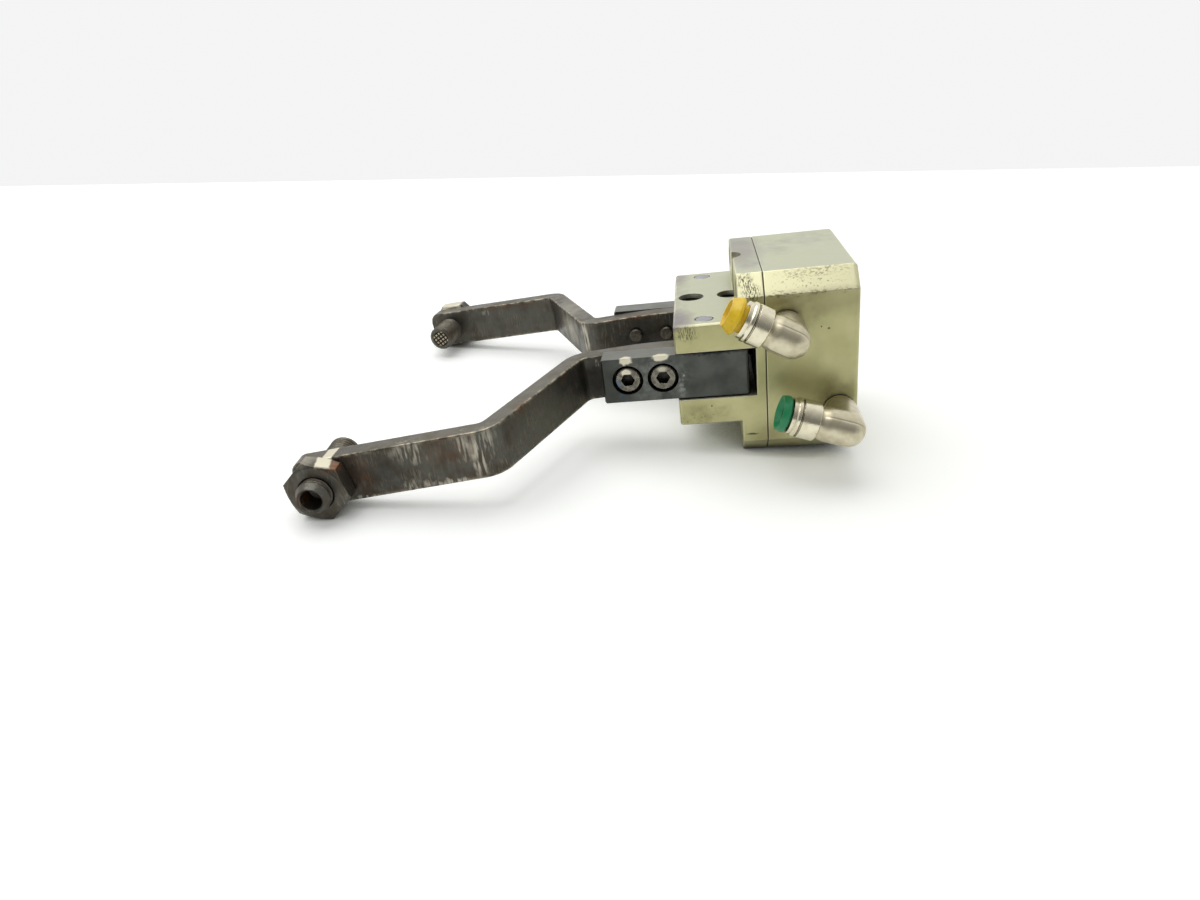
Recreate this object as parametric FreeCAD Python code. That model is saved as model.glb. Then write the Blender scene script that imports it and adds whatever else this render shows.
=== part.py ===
import FreeCAD, Part
import math
import os

V = FreeCAD.Vector

# All sizes are in millimetres and degrees.
# X runs along the gripper with the fingers at -X, Y across the jaws, Z along the pivots.
# The origin is the centre of the rear mounting face.

# Housing blocks
body_width = 60.0
body_height = 60.0
body_chamfer = 6.0
cylinder_length = 28.0
rear_edge_radius = 1.5
seam_edge = 0.3
flange_thickness = 8.0
tower_length = 20.0
tower_height = 34.0
tower_edge_chamfer = 0.6
slot_height = 16.0
slot_end_wall = 3.0

# Cylinder bore and the spigot that closes it
bore_radius = 21.0
end_wall = 4.0
spigot_length = 4.0
spigot_clearance = 0.05
o_ring_section = 1.8
o_ring_sides = 8
o_ring_groove_width = 2.4

# Mounting threads, drawn at their tapping-drill size
rear_hole_spacing = 44.0
rear_hole_radius = 2.5
rear_hole_depth = 12.0
side_hole_radius = 3.4
side_hole_lead = 0.9
side_hole_pitch = 13.0
side_hole_from_front = 5.7

# Screws
thread_clearance = 0.05
hole_clearance = 0.3
m5_radius = 2.45
m5_head_radius = 4.25
m5_head_height = 5.0
m5_hexagon = 4.0
m5_socket_depth = 2.6
screw_chamfer = 0.5
head_edge = 0.5
drill_point = 0.6
screw_end_gap = 1.0
head_clearance = 0.75
head_sink = 0.2
flange_screw_y = 20.5
flange_screw_z = 23.5
flange_screw_grip = 14.0

# Piston, rod and fork
opening_angle = 15.0
piston_length = 7.0
piston_clearance = 0.15
piston_end_gap = 0.6
piston_relief_length = 2.0
piston_relief_depth = 3.0
piston_seal_width = 2.2
piston_seal_depth = 2.2
seal_clearance = 0.1
seal_crown = 0.5
piston_nut_width = 10.0
piston_nut_height = 3.6
piston_nut_sink = 0.4
piston_land = 1.0
nut_pocket_clearance = 1.2
rod_radius = 5.0
stud_radius = 3.0
running_clearance = 0.05
press_clearance = 0.01
bush_wall = 2.0
bush_length = 3.8
rod_seal_wall = 2.6
rod_seal_length = 2.4
fork_side_gap = 0.2
fork_web = 5.0
fork_web_gap = 1.6
fork_margin = 3.8
drive_pin_radius = 2.5
drive_pin_y = 8.0
drive_clearance = 0.1
pin_chamfer = 0.4

# Closing spring
spring_mean_radius = 13.0
spring_wire_width = 2.8
spring_wire_height = 1.5
spring_turns = 4.0
spring_end_gap = 0.05

# Base jaws and their pivots
pivot_radius = 3.0
pivot_from_front = 9.7
pivot_inset = 5.3
jaw_side_gap = 0.5
jaw_inset = 0.8
jaw_overhang = 24.0
jaw_rear_gap = 2.2
jaw_rear_radius = 1.0
jaw_edge_chamfer = 0.5
jaw_shoulder_gap = 0.4
jaw_plate = 7.6
jaw_heel_depth = 11.7
arm_height = 7.0
arm_half_width = 5.0
drive_slot_margin = 0.5
finger_screw_from_end = 8.2
finger_screw_pitch = 11.4

# Fingers: flat bar on edge, bent twice, clamped with its tip hanging a little low
finger_thickness = 6.5
finger_height = 15.0
finger_heel_gap = 1.5
finger_lead = 8.7
finger_rise_angle = 66.2
finger_offset = 46.95
finger_tip_angle = 4.7
finger_tip_length = 59.0
finger_bend_radius = 7.5
finger_tip_radius = 3.5
finger_droop = 4.4
screw_tip_proud = 1.5

# Gripping bolts and their lock nuts
bolt_inset = 8.2
bolt_radius = 5.0
bolt_length = 32.0
near_bolt_reach = 14.5
far_bolt_reach = 13.0
bolt_bore_radius = 3.1
bolt_bore_depth = 7.0
bolt_bore_lead = 0.6
bolt_chamfer = 0.8
bolt_end_taper = 2.2
bolt_end_land = 0.2
nut_width = 17.0
nut_height = 6.5
nut_bevel = 30.0
near_nut_turn = 38.0
far_nut_turn = 0.0

# Push-in elbows: where they stand, how far their tubes point above the gripper axis, how high
# the tube lies, where the collar starts, and how far the release ring stands out and narrows
upper_port_x = -21.8
upper_port_z = 14.5
upper_turn = 29.5
upper_height = 13.8
upper_reach = 7.9
upper_collar_length = 7.7
upper_ring_out = 1.4
upper_ring_length = 3.6
upper_ring_front = 4.2
lower_port_x = -5.9
lower_port_z = -14.5
lower_turn = 19.5
lower_height = 15.0
lower_reach = 9.4
lower_collar_length = 8.6
lower_ring_out = 0.6
lower_ring_length = 2.4
lower_ring_front = 5.3
port_passage_radius = 1.5
port_thread_depth = 6.5

# Elbow sizes, worked from the tube outwards
tube_radius = 3.0
tube_clearance = 0.05
ring_wall = 1.15
ring_slide_clearance = 0.1
ring_tail_gap = 1.8
ring_rim_radius = 5.6
ring_rim_edge = 0.3
ring_rim_land = 1.0
ring_mouth_wall = 0.5
ring_mouth_depth = 1.5
nose_wall = 0.65
collar_wall = 1.05
collar_bead_length = 1.6
collar_bead_edge = 0.4
collar_groove = 0.35
collar_groove_depth = 0.55
collar_lip_length = 0.8
collar_lip_drop = 0.5
body_wall = 0.5
elbow_barrel_radius = 5.4
elbow_air_radius = 2.0
elbow_cap_wall = 1.2
nose_length = 5.0
tube_stop_wall = 1.0
tube_seal_length = 2.2
stem_thread_length = 5.5
stem_base_radius = 4.9
stem_base_height = 2.2
stem_washer_height = 0.8
stem_spigot_radius = 3.2
stem_air_radius = 1.25
swivel_gap = 0.15

# Places worked out from the sizes above
half_width = body_width / 2
half_height = body_height / 2
seam_x = -cylinder_length
flange_front_x = seam_x - flange_thickness
tower_front_x = flange_front_x - tower_length
slot_end_x = seam_x - slot_end_wall
spigot_x = seam_x + spigot_length
bore_end_x = -end_wall
pivot_x = tower_front_x + pivot_from_front
pivot_y = half_width - pivot_inset
lever = pivot_y - drive_pin_y
drive_x = pivot_x + lever * math.tan(math.radians(opening_angle / 2))
jaw_front_x = tower_front_x - jaw_overhang
jaw_rear_x = slot_end_x - jaw_rear_gap
jaw_outer_y = half_width - jaw_inset
finger_seat_y = jaw_outer_y - jaw_plate
front_screw_x = jaw_front_x + finger_screw_from_end
rear_screw_x = front_screw_x + finger_screw_pitch
droop_x = (front_screw_x + rear_screw_x) / 2
piston_rear_x = bore_end_x - piston_end_gap
piston_front_x = piston_rear_x - piston_length
fork_rear_x = slot_end_x - fork_web_gap
jaw_height = slot_height - 2 * jaw_side_gap
fork_height = jaw_height
fork_gap = arm_height + 2 * fork_side_gap
counterbore_radius = m5_head_radius + head_clearance
screw_sink = m5_head_height + head_sink
side_hole_mouth = side_hole_radius + side_hole_lead
nut_pocket_radius = piston_nut_width / math.sqrt(3) + nut_pocket_clearance
fork_web_x = fork_rear_x - fork_web

parts = {}


def box(x0, x1, y0, y1, z0, z1):
    return Part.makeBox(x1 - x0, y1 - y0, z1 - z0, V(x0, y0, z0))


def bar(radius, start, end):
    return Part.makeCylinder(radius, (end - start).Length, start, end - start)


# Closed outline of (distance, radius) points, turned about the X axis
def turned(points):
    corners = [V(s, r, 0) for s, r in points]
    face = Part.Face(Part.makePolygon(corners + corners[:1]))
    return face.revolve(V(0, 0, 0), V(1, 0, 0), 360)


# Moves a shape made along the X axis to a point, with X turned to a direction
def aligned(shape, point, direction):
    moved = shape.copy()
    turn = FreeCAD.Rotation(V(1, 0, 0), direction)
    moved.Placement = FreeCAD.Placement(point, turn).multiply(shape.Placement)
    return moved


def prism(points, low, high):
    corners = [V(x, y, low) for x, y in points]
    face = Part.Face(Part.makePolygon(corners + corners[:1]))
    return face.extrude(V(0, 0, high - low))


# Hexagon bar along X, with its width measured across flats
def hexagon(width, start, end):
    reach = width / math.sqrt(3)
    turns = [math.radians(60 * k) for k in range(7)]
    corners = [V(start, reach * math.cos(a), reach * math.sin(a)) for a in turns]
    return Part.Face(Part.makePolygon(corners)).extrude(V(end - start, 0, 0))


def edges_where(shape, test):
    return [edge for edge in shape.Edges if test(edge)]


# True for a straight edge that runs along one axis
def runs_along(edge, axis):
    ends = edge.Vertexes
    if len(ends) != 2:
        return False
    span = ends[1].Point - ends[0].Point
    return span.Length > 1e-6 and abs(abs(span.normalize().dot(axis)) - 1) < 1e-6


# Square block section with its four long edges bevelled
def bevelled_block(start, end):
    y = half_width
    z = half_height
    c = body_chamfer
    above = [(y, z - c), (y - c, z), (c - y, z), (-y, z - c)]
    below = [(-across, -up) for across, up in above]
    corners = [V(start, across, up) for across, up in above + below]
    face = Part.Face(Part.makePolygon(corners + corners[:1]))
    return face.extrude(V(end - start, 0, 0))


# Edges of a block that lie in the plane square to X at a distance
def outline_at(block, x):
    return edges_where(block, lambda e: abs(e.BoundBox.XMin - x) < 1e-6 and abs(e.BoundBox.XMax - x) < 1e-6)


# Hole with a drill-point end, from a mouth along a direction
def drilled(radius, depth, mouth, direction):
    point = [(0, 0), (0, radius), (depth, radius), (depth + radius * drill_point, 0)]
    return aligned(turned(point), mouth, direction)


# Socket head cap screw along X: underside of the head at 0, head towards +X
def socket_screw(grip):
    tip = -grip
    solid = turned([
        (tip, 0),
        (tip, m5_radius - screw_chamfer),
        (tip + screw_chamfer, m5_radius),
        (0, m5_radius),
        (0, m5_head_radius),
        (m5_head_height - head_edge, m5_head_radius),
        (m5_head_height, m5_head_radius - head_edge),
        (m5_head_height, 0),
    ])
    return solid.cut(hexagon(m5_hexagon, m5_head_height - m5_socket_depth, m5_head_height + 1))


# Straight pin along Z with bevelled ends
def dowel(radius, half_length, x, y):
    pin = turned([
        (-half_length, 0),
        (-half_length, radius - pin_chamfer),
        (pin_chamfer - half_length, radius),
        (half_length - pin_chamfer, radius),
        (half_length, radius - pin_chamfer),
        (half_length, 0),
    ])
    return aligned(pin, V(x, y, 0), V(0, 0, 1))


def flange_screw_places():
    return [(y, z) for y in (-flange_screw_y, flange_screw_y) for z in (-flange_screw_z, flange_screw_z)]


def port_places():
    return [(upper_port_x, upper_port_z), (lower_port_x, lower_port_z)]


def make_cylinder_housing():
    block = bevelled_block(seam_x, 0)
    block = block.makeFillet(rear_edge_radius, outline_at(block, 0))
    block = block.makeChamfer(seam_edge, outline_at(block, seam_x))
    cuts = [bar(bore_radius, V(seam_x, 0, 0), V(bore_end_x, 0, 0))]
    half = rear_hole_spacing / 2
    for y in (-half, half):
        for z in (-half, half):
            cuts.append(drilled(rear_hole_radius, rear_hole_depth, V(0, y, z), V(-1, 0, 0)))
    tapped = m5_radius + thread_clearance
    for y, z in flange_screw_places():
        cuts.append(drilled(tapped, flange_screw_grip, V(seam_x, y, z), V(1, 0, 0)))
    for x, z in port_places():
        cuts.append(bar(tapped, V(x, -half_width, z), V(x, port_thread_depth - half_width, z)))
        wall = math.sqrt(bore_radius ** 2 - z ** 2)
        cuts.append(bar(port_passage_radius, V(x, -half_width, z), V(x, port_passage_radius - wall, z)))
    return block.cut(cuts)


def make_jaw_housing():
    flange = bevelled_block(flange_front_x, seam_x)
    eased = outline_at(flange, flange_front_x) + outline_at(flange, seam_x)
    flange = flange.makeChamfer(seam_edge, eased)
    half = tower_height / 2
    tower = box(tower_front_x, slot_end_x, -half_width, half_width, -half, half)
    sharp = edges_where(tower, lambda e: e.BoundBox.XMin < tower_front_x + 1e-6)
    tower = tower.makeChamfer(tower_edge_chamfer, sharp)
    spigot = bar(bore_radius - spigot_clearance, V(seam_x, 0, 0), V(spigot_x, 0, 0))
    solid = flange.fuse([tower, spigot]).removeSplitter()
    reach = half_width + 1
    cuts = [box(tower_front_x - 1, slot_end_x, -reach, reach, -slot_height / 2, slot_height / 2)]
    cuts.append(bar(bush_outer, V(slot_end_x - 1, 0, 0), V(spigot_x, 0, 0)))
    cuts.append(bar(rod_seal_outer, V(rod_seal_x, 0, 0), V(spigot_x, 0, 0)))
    cuts.append(o_ring_groove())
    for side in (-1, 1):
        foot = V(pivot_x, side * pivot_y, -tower_height)
        cuts.append(bar(pivot_radius + press_clearance, foot, foot + V(0, 0, 2 * tower_height)))
    for x in side_hole_places():
        for up in (-1, 1):
            mouth = V(x, 0, up * half)
            cuts.append(aligned(turned([
                (0, 0),
                (0, side_hole_mouth),
                (side_hole_lead, side_hole_radius),
                (half, side_hole_radius),
                (half, 0),
            ]), mouth, V(0, 0, -up)))
    for up in (-1, 1):
        foot = V(side_hole_places()[1], 0, up * half)
        cuts.append(bar(side_hole_mouth, foot, foot + V(0, 0, up * half_height)))
    for y, z in flange_screw_places():
        front = V(flange_front_x, y, z)
        cuts.append(bar(counterbore_radius, front, front + V(screw_sink, 0, 0)))
        cuts.append(bar(m5_radius + hole_clearance, front, front + V(flange_thickness, 0, 0)))
    return solid.cut(cuts)


def side_hole_places():
    first = tower_front_x + side_hole_from_front
    return [first, first + side_hole_pitch]


def o_ring_groove():
    middle = (seam_x + spigot_x) / 2
    half = o_ring_groove_width / 2
    floor = bore_radius - o_ring_section - spigot_clearance
    return turned([
        (middle - half, floor),
        (middle - half, bore_radius + 1),
        (middle + half, bore_radius + 1),
        (middle + half, floor),
    ])


# Ring of many-sided section, close enough to round where it is squeezed in its groove
def make_seam_o_ring():
    middle = (seam_x + spigot_x) / 2
    half = o_ring_section / 2
    radius = bore_radius - spigot_clearance - half
    turns = [2 * math.pi * k / o_ring_sides for k in range(o_ring_sides)]
    return turned([(middle + half * math.cos(a), radius + half * math.sin(a)) for a in turns])


def make_flange_screws():
    seat = flange_front_x + screw_sink
    grip = seam_x - seat + flange_screw_grip - screw_end_gap
    screws = [aligned(socket_screw(grip), V(seat, y, z), V(-1, 0, 0)) for y, z in flange_screw_places()]
    return Part.makeCompound(screws)


# Rod guide: a plain bush at the slot's end, then the seal, both in the spigot
bush_inner = rod_radius + running_clearance
bush_outer = bush_inner + bush_wall
rod_seal_outer = bush_inner + rod_seal_wall
rod_seal_x = slot_end_x + bush_length


def make_rod_bush():
    whole = bar(bush_outer - press_clearance, V(slot_end_x, 0, 0), V(rod_seal_x, 0, 0))
    return whole.cut(bar(bush_inner, V(slot_end_x, 0, 0), V(rod_seal_x, 0, 0)))


def make_rod_seal():
    lip = seal_crown
    end = rod_seal_x + rod_seal_length
    middle = bush_inner + rod_seal_wall / 2
    outer = rod_seal_outer - press_clearance
    return turned([
        (rod_seal_x, bush_inner),
        (rod_seal_x, outer),
        (end, outer),
        (end, middle + lip),
        (end - 2 * lip, middle),
        (end, middle - lip),
        (end, bush_inner),
    ])


def make_piston():
    radius = bore_radius - piston_clearance
    neck = piston_rear_x - piston_relief_length
    land = neck - piston_seal_width - piston_land
    floor = radius - piston_seal_depth
    pocket = piston_rear_x - piston_nut_height - piston_nut_sink
    return turned([
        (piston_front_x, stud_radius + press_clearance),
        (piston_front_x, radius - pin_chamfer),
        (piston_front_x + pin_chamfer, radius),
        (land, radius),
        (land, floor),
        (land + piston_seal_width, floor),
        (land + piston_seal_width, radius),
        (neck, radius),
        (piston_rear_x, radius - piston_relief_depth),
        (piston_rear_x, nut_pocket_radius),
        (pocket, nut_pocket_radius),
        (pocket, stud_radius + press_clearance),
    ])


def make_piston_seal():
    radius = bore_radius - seal_clearance
    floor = bore_radius - piston_clearance - piston_seal_depth + press_clearance
    land = piston_rear_x - piston_relief_length - piston_seal_width - piston_land
    start = land + press_clearance
    end = land + piston_seal_width - press_clearance
    crown = seal_crown
    return turned([
        (start, floor),
        (start, radius - crown),
        (start + crown, radius),
        (end - crown, radius),
        (end, radius - crown),
        (end, floor),
    ])


def make_piston_nut():
    pocket = piston_rear_x - piston_nut_height - piston_nut_sink
    nut = hexagon(piston_nut_width, pocket, pocket + piston_nut_height)
    return nut.cut(bar(stud_radius + press_clearance, V(pocket, 0, 0), V(piston_rear_x, 0, 0)))


def make_piston_rod():
    return turned([
        (fork_web_x, 0),
        (fork_web_x, stud_radius),
        (fork_rear_x, stud_radius),
        (fork_rear_x, rod_radius),
        (piston_front_x, rod_radius),
        (piston_front_x, stud_radius),
        (piston_rear_x - piston_nut_sink, stud_radius),
        (piston_rear_x - piston_nut_sink, 0),
    ])


# Fork on the rod: a web with an upper and a lower cheek, rounded round the drive pins
def make_crosshead():
    reach = drive_pin_y + fork_margin
    front = drive_x - fork_margin
    block = box(front, fork_rear_x, -reach, reach, -fork_height / 2, fork_height / 2)
    corners = edges_where(block, lambda e: runs_along(e, V(0, 0, 1)) and e.BoundBox.XMax < front + 1e-6)
    block = block.makeFillet(fork_margin - pin_chamfer, corners)
    cuts = [box(front - 1, fork_web_x, -reach - 1, reach + 1, -fork_gap / 2, fork_gap / 2)]
    cuts.append(bar(stud_radius + press_clearance, V(fork_web_x - 1, 0, 0), V(fork_rear_x, 0, 0)))
    for side in (-1, 1):
        foot = V(drive_x, side * drive_pin_y, -fork_height)
        cuts.append(bar(drive_pin_radius + press_clearance, foot, foot + V(0, 0, 2 * fork_height)))
    return block.cut(cuts)


def make_drive_pins():
    pins = [dowel(drive_pin_radius, fork_height / 2, drive_x, side * drive_pin_y) for side in (-1, 1)]
    return Part.makeCompound(pins)


# Coil of rectangular wire between the spigot and the piston
def make_closing_spring():
    start = spigot_x + spring_wire_height / 2 + spring_end_gap
    end = piston_front_x - spring_wire_height / 2 - spring_end_gap
    path = Part.makeHelix((end - start) / spring_turns, end - start, spring_mean_radius)
    inner = spring_mean_radius - spring_wire_width / 2
    outer = spring_mean_radius + spring_wire_width / 2
    half = spring_wire_height / 2
    section = Part.makePolygon([
        V(inner, 0, -half),
        V(outer, 0, -half),
        V(outer, 0, half),
        V(inner, 0, half),
        V(inner, 0, -half),
    ])
    coil = Part.Wire(path.Edges).makePipeShell([section], True, True)
    coil.Placement = FreeCAD.Placement(V(start, 0, 0), FreeCAD.Rotation(V(0, 1, 0), 90))
    return coil


# Jaw: plate in front for the finger, heel round the pivot, thin arm to the drive pin
def make_base_jaw(side):
    half = jaw_height / 2
    shoulder = tower_front_x - jaw_shoulder_gap
    heel_y = jaw_outer_y - jaw_heel_depth
    plan = [
        (jaw_front_x, finger_seat_y),
        (jaw_front_x, jaw_outer_y),
        (jaw_rear_x, jaw_outer_y),
        (jaw_rear_x, heel_y),
        (shoulder, heel_y),
        (shoulder, finger_seat_y),
    ]
    block = prism([(x, side * y) for x, y in plan], -half, half)
    rear = edges_where(block, lambda e: runs_along(e, V(0, 0, 1)) and e.BoundBox.XMin > jaw_rear_x - 1e-6)
    block = block.makeFillet(jaw_rear_radius, rear)
    front = edges_where(block, lambda e: e.BoundBox.XMax < jaw_front_x + 1e-6)
    block = block.makeChamfer(jaw_edge_chamfer, front)
    pivot = V(pivot_x, side * pivot_y, 0)
    pin = V(drive_x, side * drive_pin_y, 0)
    solid = block.fuse(jaw_arm(pivot, pin)).removeSplitter()
    tall = V(0, 0, jaw_height)
    cuts = [bar(pivot_radius + running_clearance, pivot - tall, pivot + tall)]
    cuts.append(drive_slot(pivot, pin))
    for x in (front_screw_x, rear_screw_x):
        outer = V(x, side * jaw_outer_y, 0)
        inward = V(0, -side, 0)
        cuts.append(bar(counterbore_radius, outer, outer + inward * screw_sink))
        cuts.append(bar(m5_radius + hole_clearance, outer, outer + inward * (jaw_plate + 1)))
    return solid.cut(cuts)


def jaw_arm(pivot, pin):
    along = (pin - pivot).normalize()
    across = V(-along.y, along.x, 0) * arm_half_width
    half = arm_height / 2
    corners = [pivot - across, pin - across, pin + across, pivot + across]
    strip = prism([(p.x, p.y) for p in corners], -half, half)
    tip = bar(arm_half_width, pin - V(0, 0, half), pin + V(0, 0, half))
    return strip.fuse(tip).removeSplitter()


def drive_slot(pivot, pin):
    along = (pin - pivot).normalize()
    radius = drive_pin_radius + drive_clearance
    across = V(-along.y, along.x, 0) * radius
    near = pin - along * drive_slot_margin
    far = pin + along * drive_slot_margin
    half = arm_height
    corners = [near - across, far - across, far + across, near + across]
    strip = prism([(p.x, p.y) for p in corners], -half, half)
    ends = [bar(radius, p - V(0, 0, half), p + V(0, 0, half)) for p in (near, far)]
    return strip.fuse(ends).removeSplitter()


def make_pivot_pin(side):
    return dowel(pivot_radius, tower_height / 2, pivot_x, side * pivot_y)


# Corner points of a finger's centre line, seen from above
def finger_line(side):
    y = finger_seat_y - finger_thickness / 2
    rise = math.radians(finger_rise_angle)
    lean = math.radians(finger_tip_angle)
    heel = (tower_front_x - finger_heel_gap, y)
    first = (jaw_front_x - finger_lead, y)
    second = (first[0] - finger_offset / math.tan(rise), y + finger_offset)
    tip = (second[0] - finger_tip_length * math.cos(lean), second[1] + finger_tip_length * math.sin(lean))
    return [V(x, side * y, 0) for x, y in (heel, first, second, tip)]


# One face of a bent bar: straight runs joined by arcs, offset from the centre line
def bent_face(points, radius, offset):
    edges = []
    spot = points[0] + left_of(points[1] - points[0]) * offset
    for before, corner, after in zip(points, points[1:], points[2:]):
        come = (corner - before).normalize()
        go = (after - corner).normalize()
        turn = come.getAngle(go)
        hand = 1 if come.cross(go).z > 0 else -1
        run = radius * math.tan(turn / 2)
        centre = corner - come * run + left_of(come) * (hand * radius)
        middle = (left_of(come) + left_of(go)).normalize()
        reach = radius - hand * offset
        start = centre - left_of(come) * (hand * reach)
        halfway = centre - middle * (hand * reach)
        end = centre - left_of(go) * (hand * reach)
        edges.append(Part.LineSegment(spot, start).toShape())
        edges.append(Part.Arc(start, halfway, end).toShape())
        spot = end
    last = points[-1] + left_of(points[-1] - points[-2]) * offset
    edges.append(Part.LineSegment(spot, last).toShape())
    return edges


def left_of(direction):
    return V(-direction.y, direction.x, 0).normalize()


def drooped(shape):
    lowered = shape.copy()
    lowered.rotate(V(droop_x, 0, 0), V(0, 1, 0), -finger_droop)
    return lowered


# Centre of the gripping bolt's hole and the outward direction of its axis
def bolt_place(side):
    line = finger_line(side)
    along = (line[3] - line[2]).normalize()
    outward = V(along.y, -along.x, 0) * side
    return line[3] - along * bolt_inset, outward


def make_finger(side):
    line = finger_line(side)
    half = finger_thickness / 2
    left = bent_face(line, finger_bend_radius, half)
    right = bent_face(line, finger_bend_radius, -half)
    heel = Part.LineSegment(left[0].Vertexes[0].Point, right[0].Vertexes[0].Point).toShape()
    nose = Part.LineSegment(left[-1].Vertexes[-1].Point, right[-1].Vertexes[-1].Point).toShape()
    outline = Part.Wire(Part.__sortEdges__(left + right + [heel, nose]))
    solid = Part.Face(outline).extrude(V(0, 0, finger_height))
    solid.translate(V(0, 0, -finger_height / 2))
    ends = edges_where(solid, lambda e: (e.CenterOfMass - line[3]).Length < finger_height / 2 + 0.1)
    corners = [e for e in ends if abs(abs(e.CenterOfMass.z) - finger_height / 2) < 1e-6]
    short = [e for e in corners if abs(e.Length - finger_thickness) < 1e-6]
    solid = solid.makeFillet(finger_tip_radius, short)
    place, outward = bolt_place(side)
    reach = outward * finger_thickness
    hole = bar(bolt_radius + press_clearance, place - reach, place + reach)
    solid = drooped(solid.cut(hole))
    tapped = m5_radius + thread_clearance
    inner = side * (finger_seat_y - 2 * finger_thickness)
    outer = side * (finger_seat_y + 1)
    holes = [bar(tapped, V(x, inner, 0), V(x, outer, 0)) for x in (front_screw_x, rear_screw_x)]
    return solid.cut(holes)


def make_finger_screws(side):
    seat = jaw_outer_y - screw_sink
    grip = seat - finger_seat_y + finger_thickness + screw_tip_proud
    places = [V(x, side * seat, 0) for x in (front_screw_x, rear_screw_x)]
    return Part.makeCompound([aligned(socket_screw(grip), place, V(0, side, 0)) for place in places])


# Threaded bolt with a hollow outer end, its reach measured from the finger's inner face
def make_grip_bolt(side, reach):
    nose = -finger_thickness / 2 - reach
    outer_end = nose + bolt_length
    bottom = outer_end - bolt_bore_depth
    solid = turned([
        (nose, 0),
        (nose, bolt_radius - bolt_chamfer),
        (nose + bolt_chamfer, bolt_radius),
        (outer_end - bolt_end_taper, bolt_radius),
        (outer_end, bolt_bore_radius + bolt_bore_lead + bolt_end_land),
        (outer_end, bolt_bore_radius + bolt_bore_lead),
        (outer_end - bolt_bore_lead, bolt_bore_radius),
        (bottom, bolt_bore_radius),
        (bottom - bolt_bore_radius * drill_point, 0),
    ])
    place, outward = bolt_place(side)
    return drooped(aligned(solid, place, outward))


# Thin nut with both faces bevelled at the corners
def make_lock_nut(side, turn):
    start = finger_thickness / 2
    end = start + nut_height
    corner = nut_width / math.sqrt(3)
    flat = nut_width / 2
    drop = (corner - flat) * math.tan(math.radians(nut_bevel))
    bevel = turned([
        (start, 0),
        (start, flat),
        (start + drop, corner),
        (end - drop, corner),
        (end, flat),
        (end, 0),
    ])
    nut = hexagon(nut_width, start, end).common(bevel)
    nut = nut.cut(bar(bolt_radius + press_clearance, V(start, 0, 0), V(end, 0, 0)))
    nut.rotate(V(0, 0, 0), V(1, 0, 0), turn)
    place, outward = bolt_place(side)
    return drooped(aligned(nut, place, outward))


# Elbow radii and stations along the tube, worked outwards from the tube
ring_bore = tube_radius + tube_clearance
ring_tail = ring_bore + ring_wall
nose_bore = ring_tail + ring_slide_clearance
nose_radius = nose_bore + nose_wall
collar_bore = nose_radius + press_clearance
collar_radius = collar_bore + collar_wall
elbow_radius = nose_radius + body_wall
seal_half = tube_seal_length / 2


# Puts a fitting made with its stem along Z and its tube along X on the front face
def on_port(shape, x, z, turn):
    a = math.radians(turn)
    tube = V(-math.cos(a), 0, math.sin(a))
    stem = V(0, -1, 0)
    side = stem.cross(tube)
    spin = FreeCAD.Rotation(tube, side, stem, "ZXY")
    moved = shape.copy()
    moved.Placement = FreeCAD.Placement(V(x, -half_width, z), spin).multiply(shape.Placement)
    return moved


# Shape turned about the tube axis, which lies above the port face
def on_tube(points, height):
    shape = turned(points)
    shape.translate(V(0, 0, height))
    return shape


def upright(points):
    return aligned(turned(points), V(0, 0, 0), V(0, 0, 1))


def make_stem(height):
    base = stem_washer_height
    top = base + stem_base_height
    end = height + swivel_gap
    return upright([
        (-stem_thread_length, stem_air_radius),
        (-stem_thread_length, m5_radius - screw_chamfer),
        (screw_chamfer - stem_thread_length, m5_radius),
        (base, m5_radius),
        (base, stem_base_radius),
        (top - head_edge, stem_base_radius),
        (top, stem_base_radius - head_edge),
        (top, stem_spigot_radius),
        (end, stem_spigot_radius),
        (end, stem_air_radius),
    ])


def make_stem_washer():
    inner = m5_radius + thread_clearance
    outer = stem_base_radius
    return upright([(0, inner), (0, outer), (stem_washer_height, outer), (stem_washer_height, inner)])


# Cast body: barrel over the stem, ball-ended barrel with two flats along the tube
def make_elbow(height, reach):
    foot = stem_washer_height + stem_base_height + swivel_gap
    centre = V(0, 0, height)
    step = V(reach, 0, height)
    tip = V(reach + nose_length, 0, height)
    seal_start = reach - seal_half
    ball = Part.makeSphere(elbow_radius, centre)
    body = ball.fuse(bar(elbow_radius, centre, step)).removeSplitter()
    flat = nose_radius
    tall = height + 2 * elbow_radius
    body = body.common(box(-tall, tall, -flat, flat, 0, tall))
    barrel = bar(elbow_barrel_radius, V(0, 0, foot), centre)
    solid = body.fuse([barrel, bar(nose_radius, step, tip)]).removeSplitter()
    well = height + elbow_radius - elbow_cap_wall
    socket = stem_spigot_radius + running_clearance
    cuts = [bar(socket, V(0, 0, foot - 1), V(0, 0, height + 2 * swivel_gap))]
    cuts.append(bar(elbow_air_radius, centre, V(0, 0, well)))
    cuts.append(bar(elbow_air_radius, centre, tip))
    cuts.append(bar(nose_bore - tube_stop_wall, V(seal_start - 1, 0, height), tip))
    cuts.append(bar(nose_bore, V(seal_start, 0, height), tip))
    return solid.cut(cuts)


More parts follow.
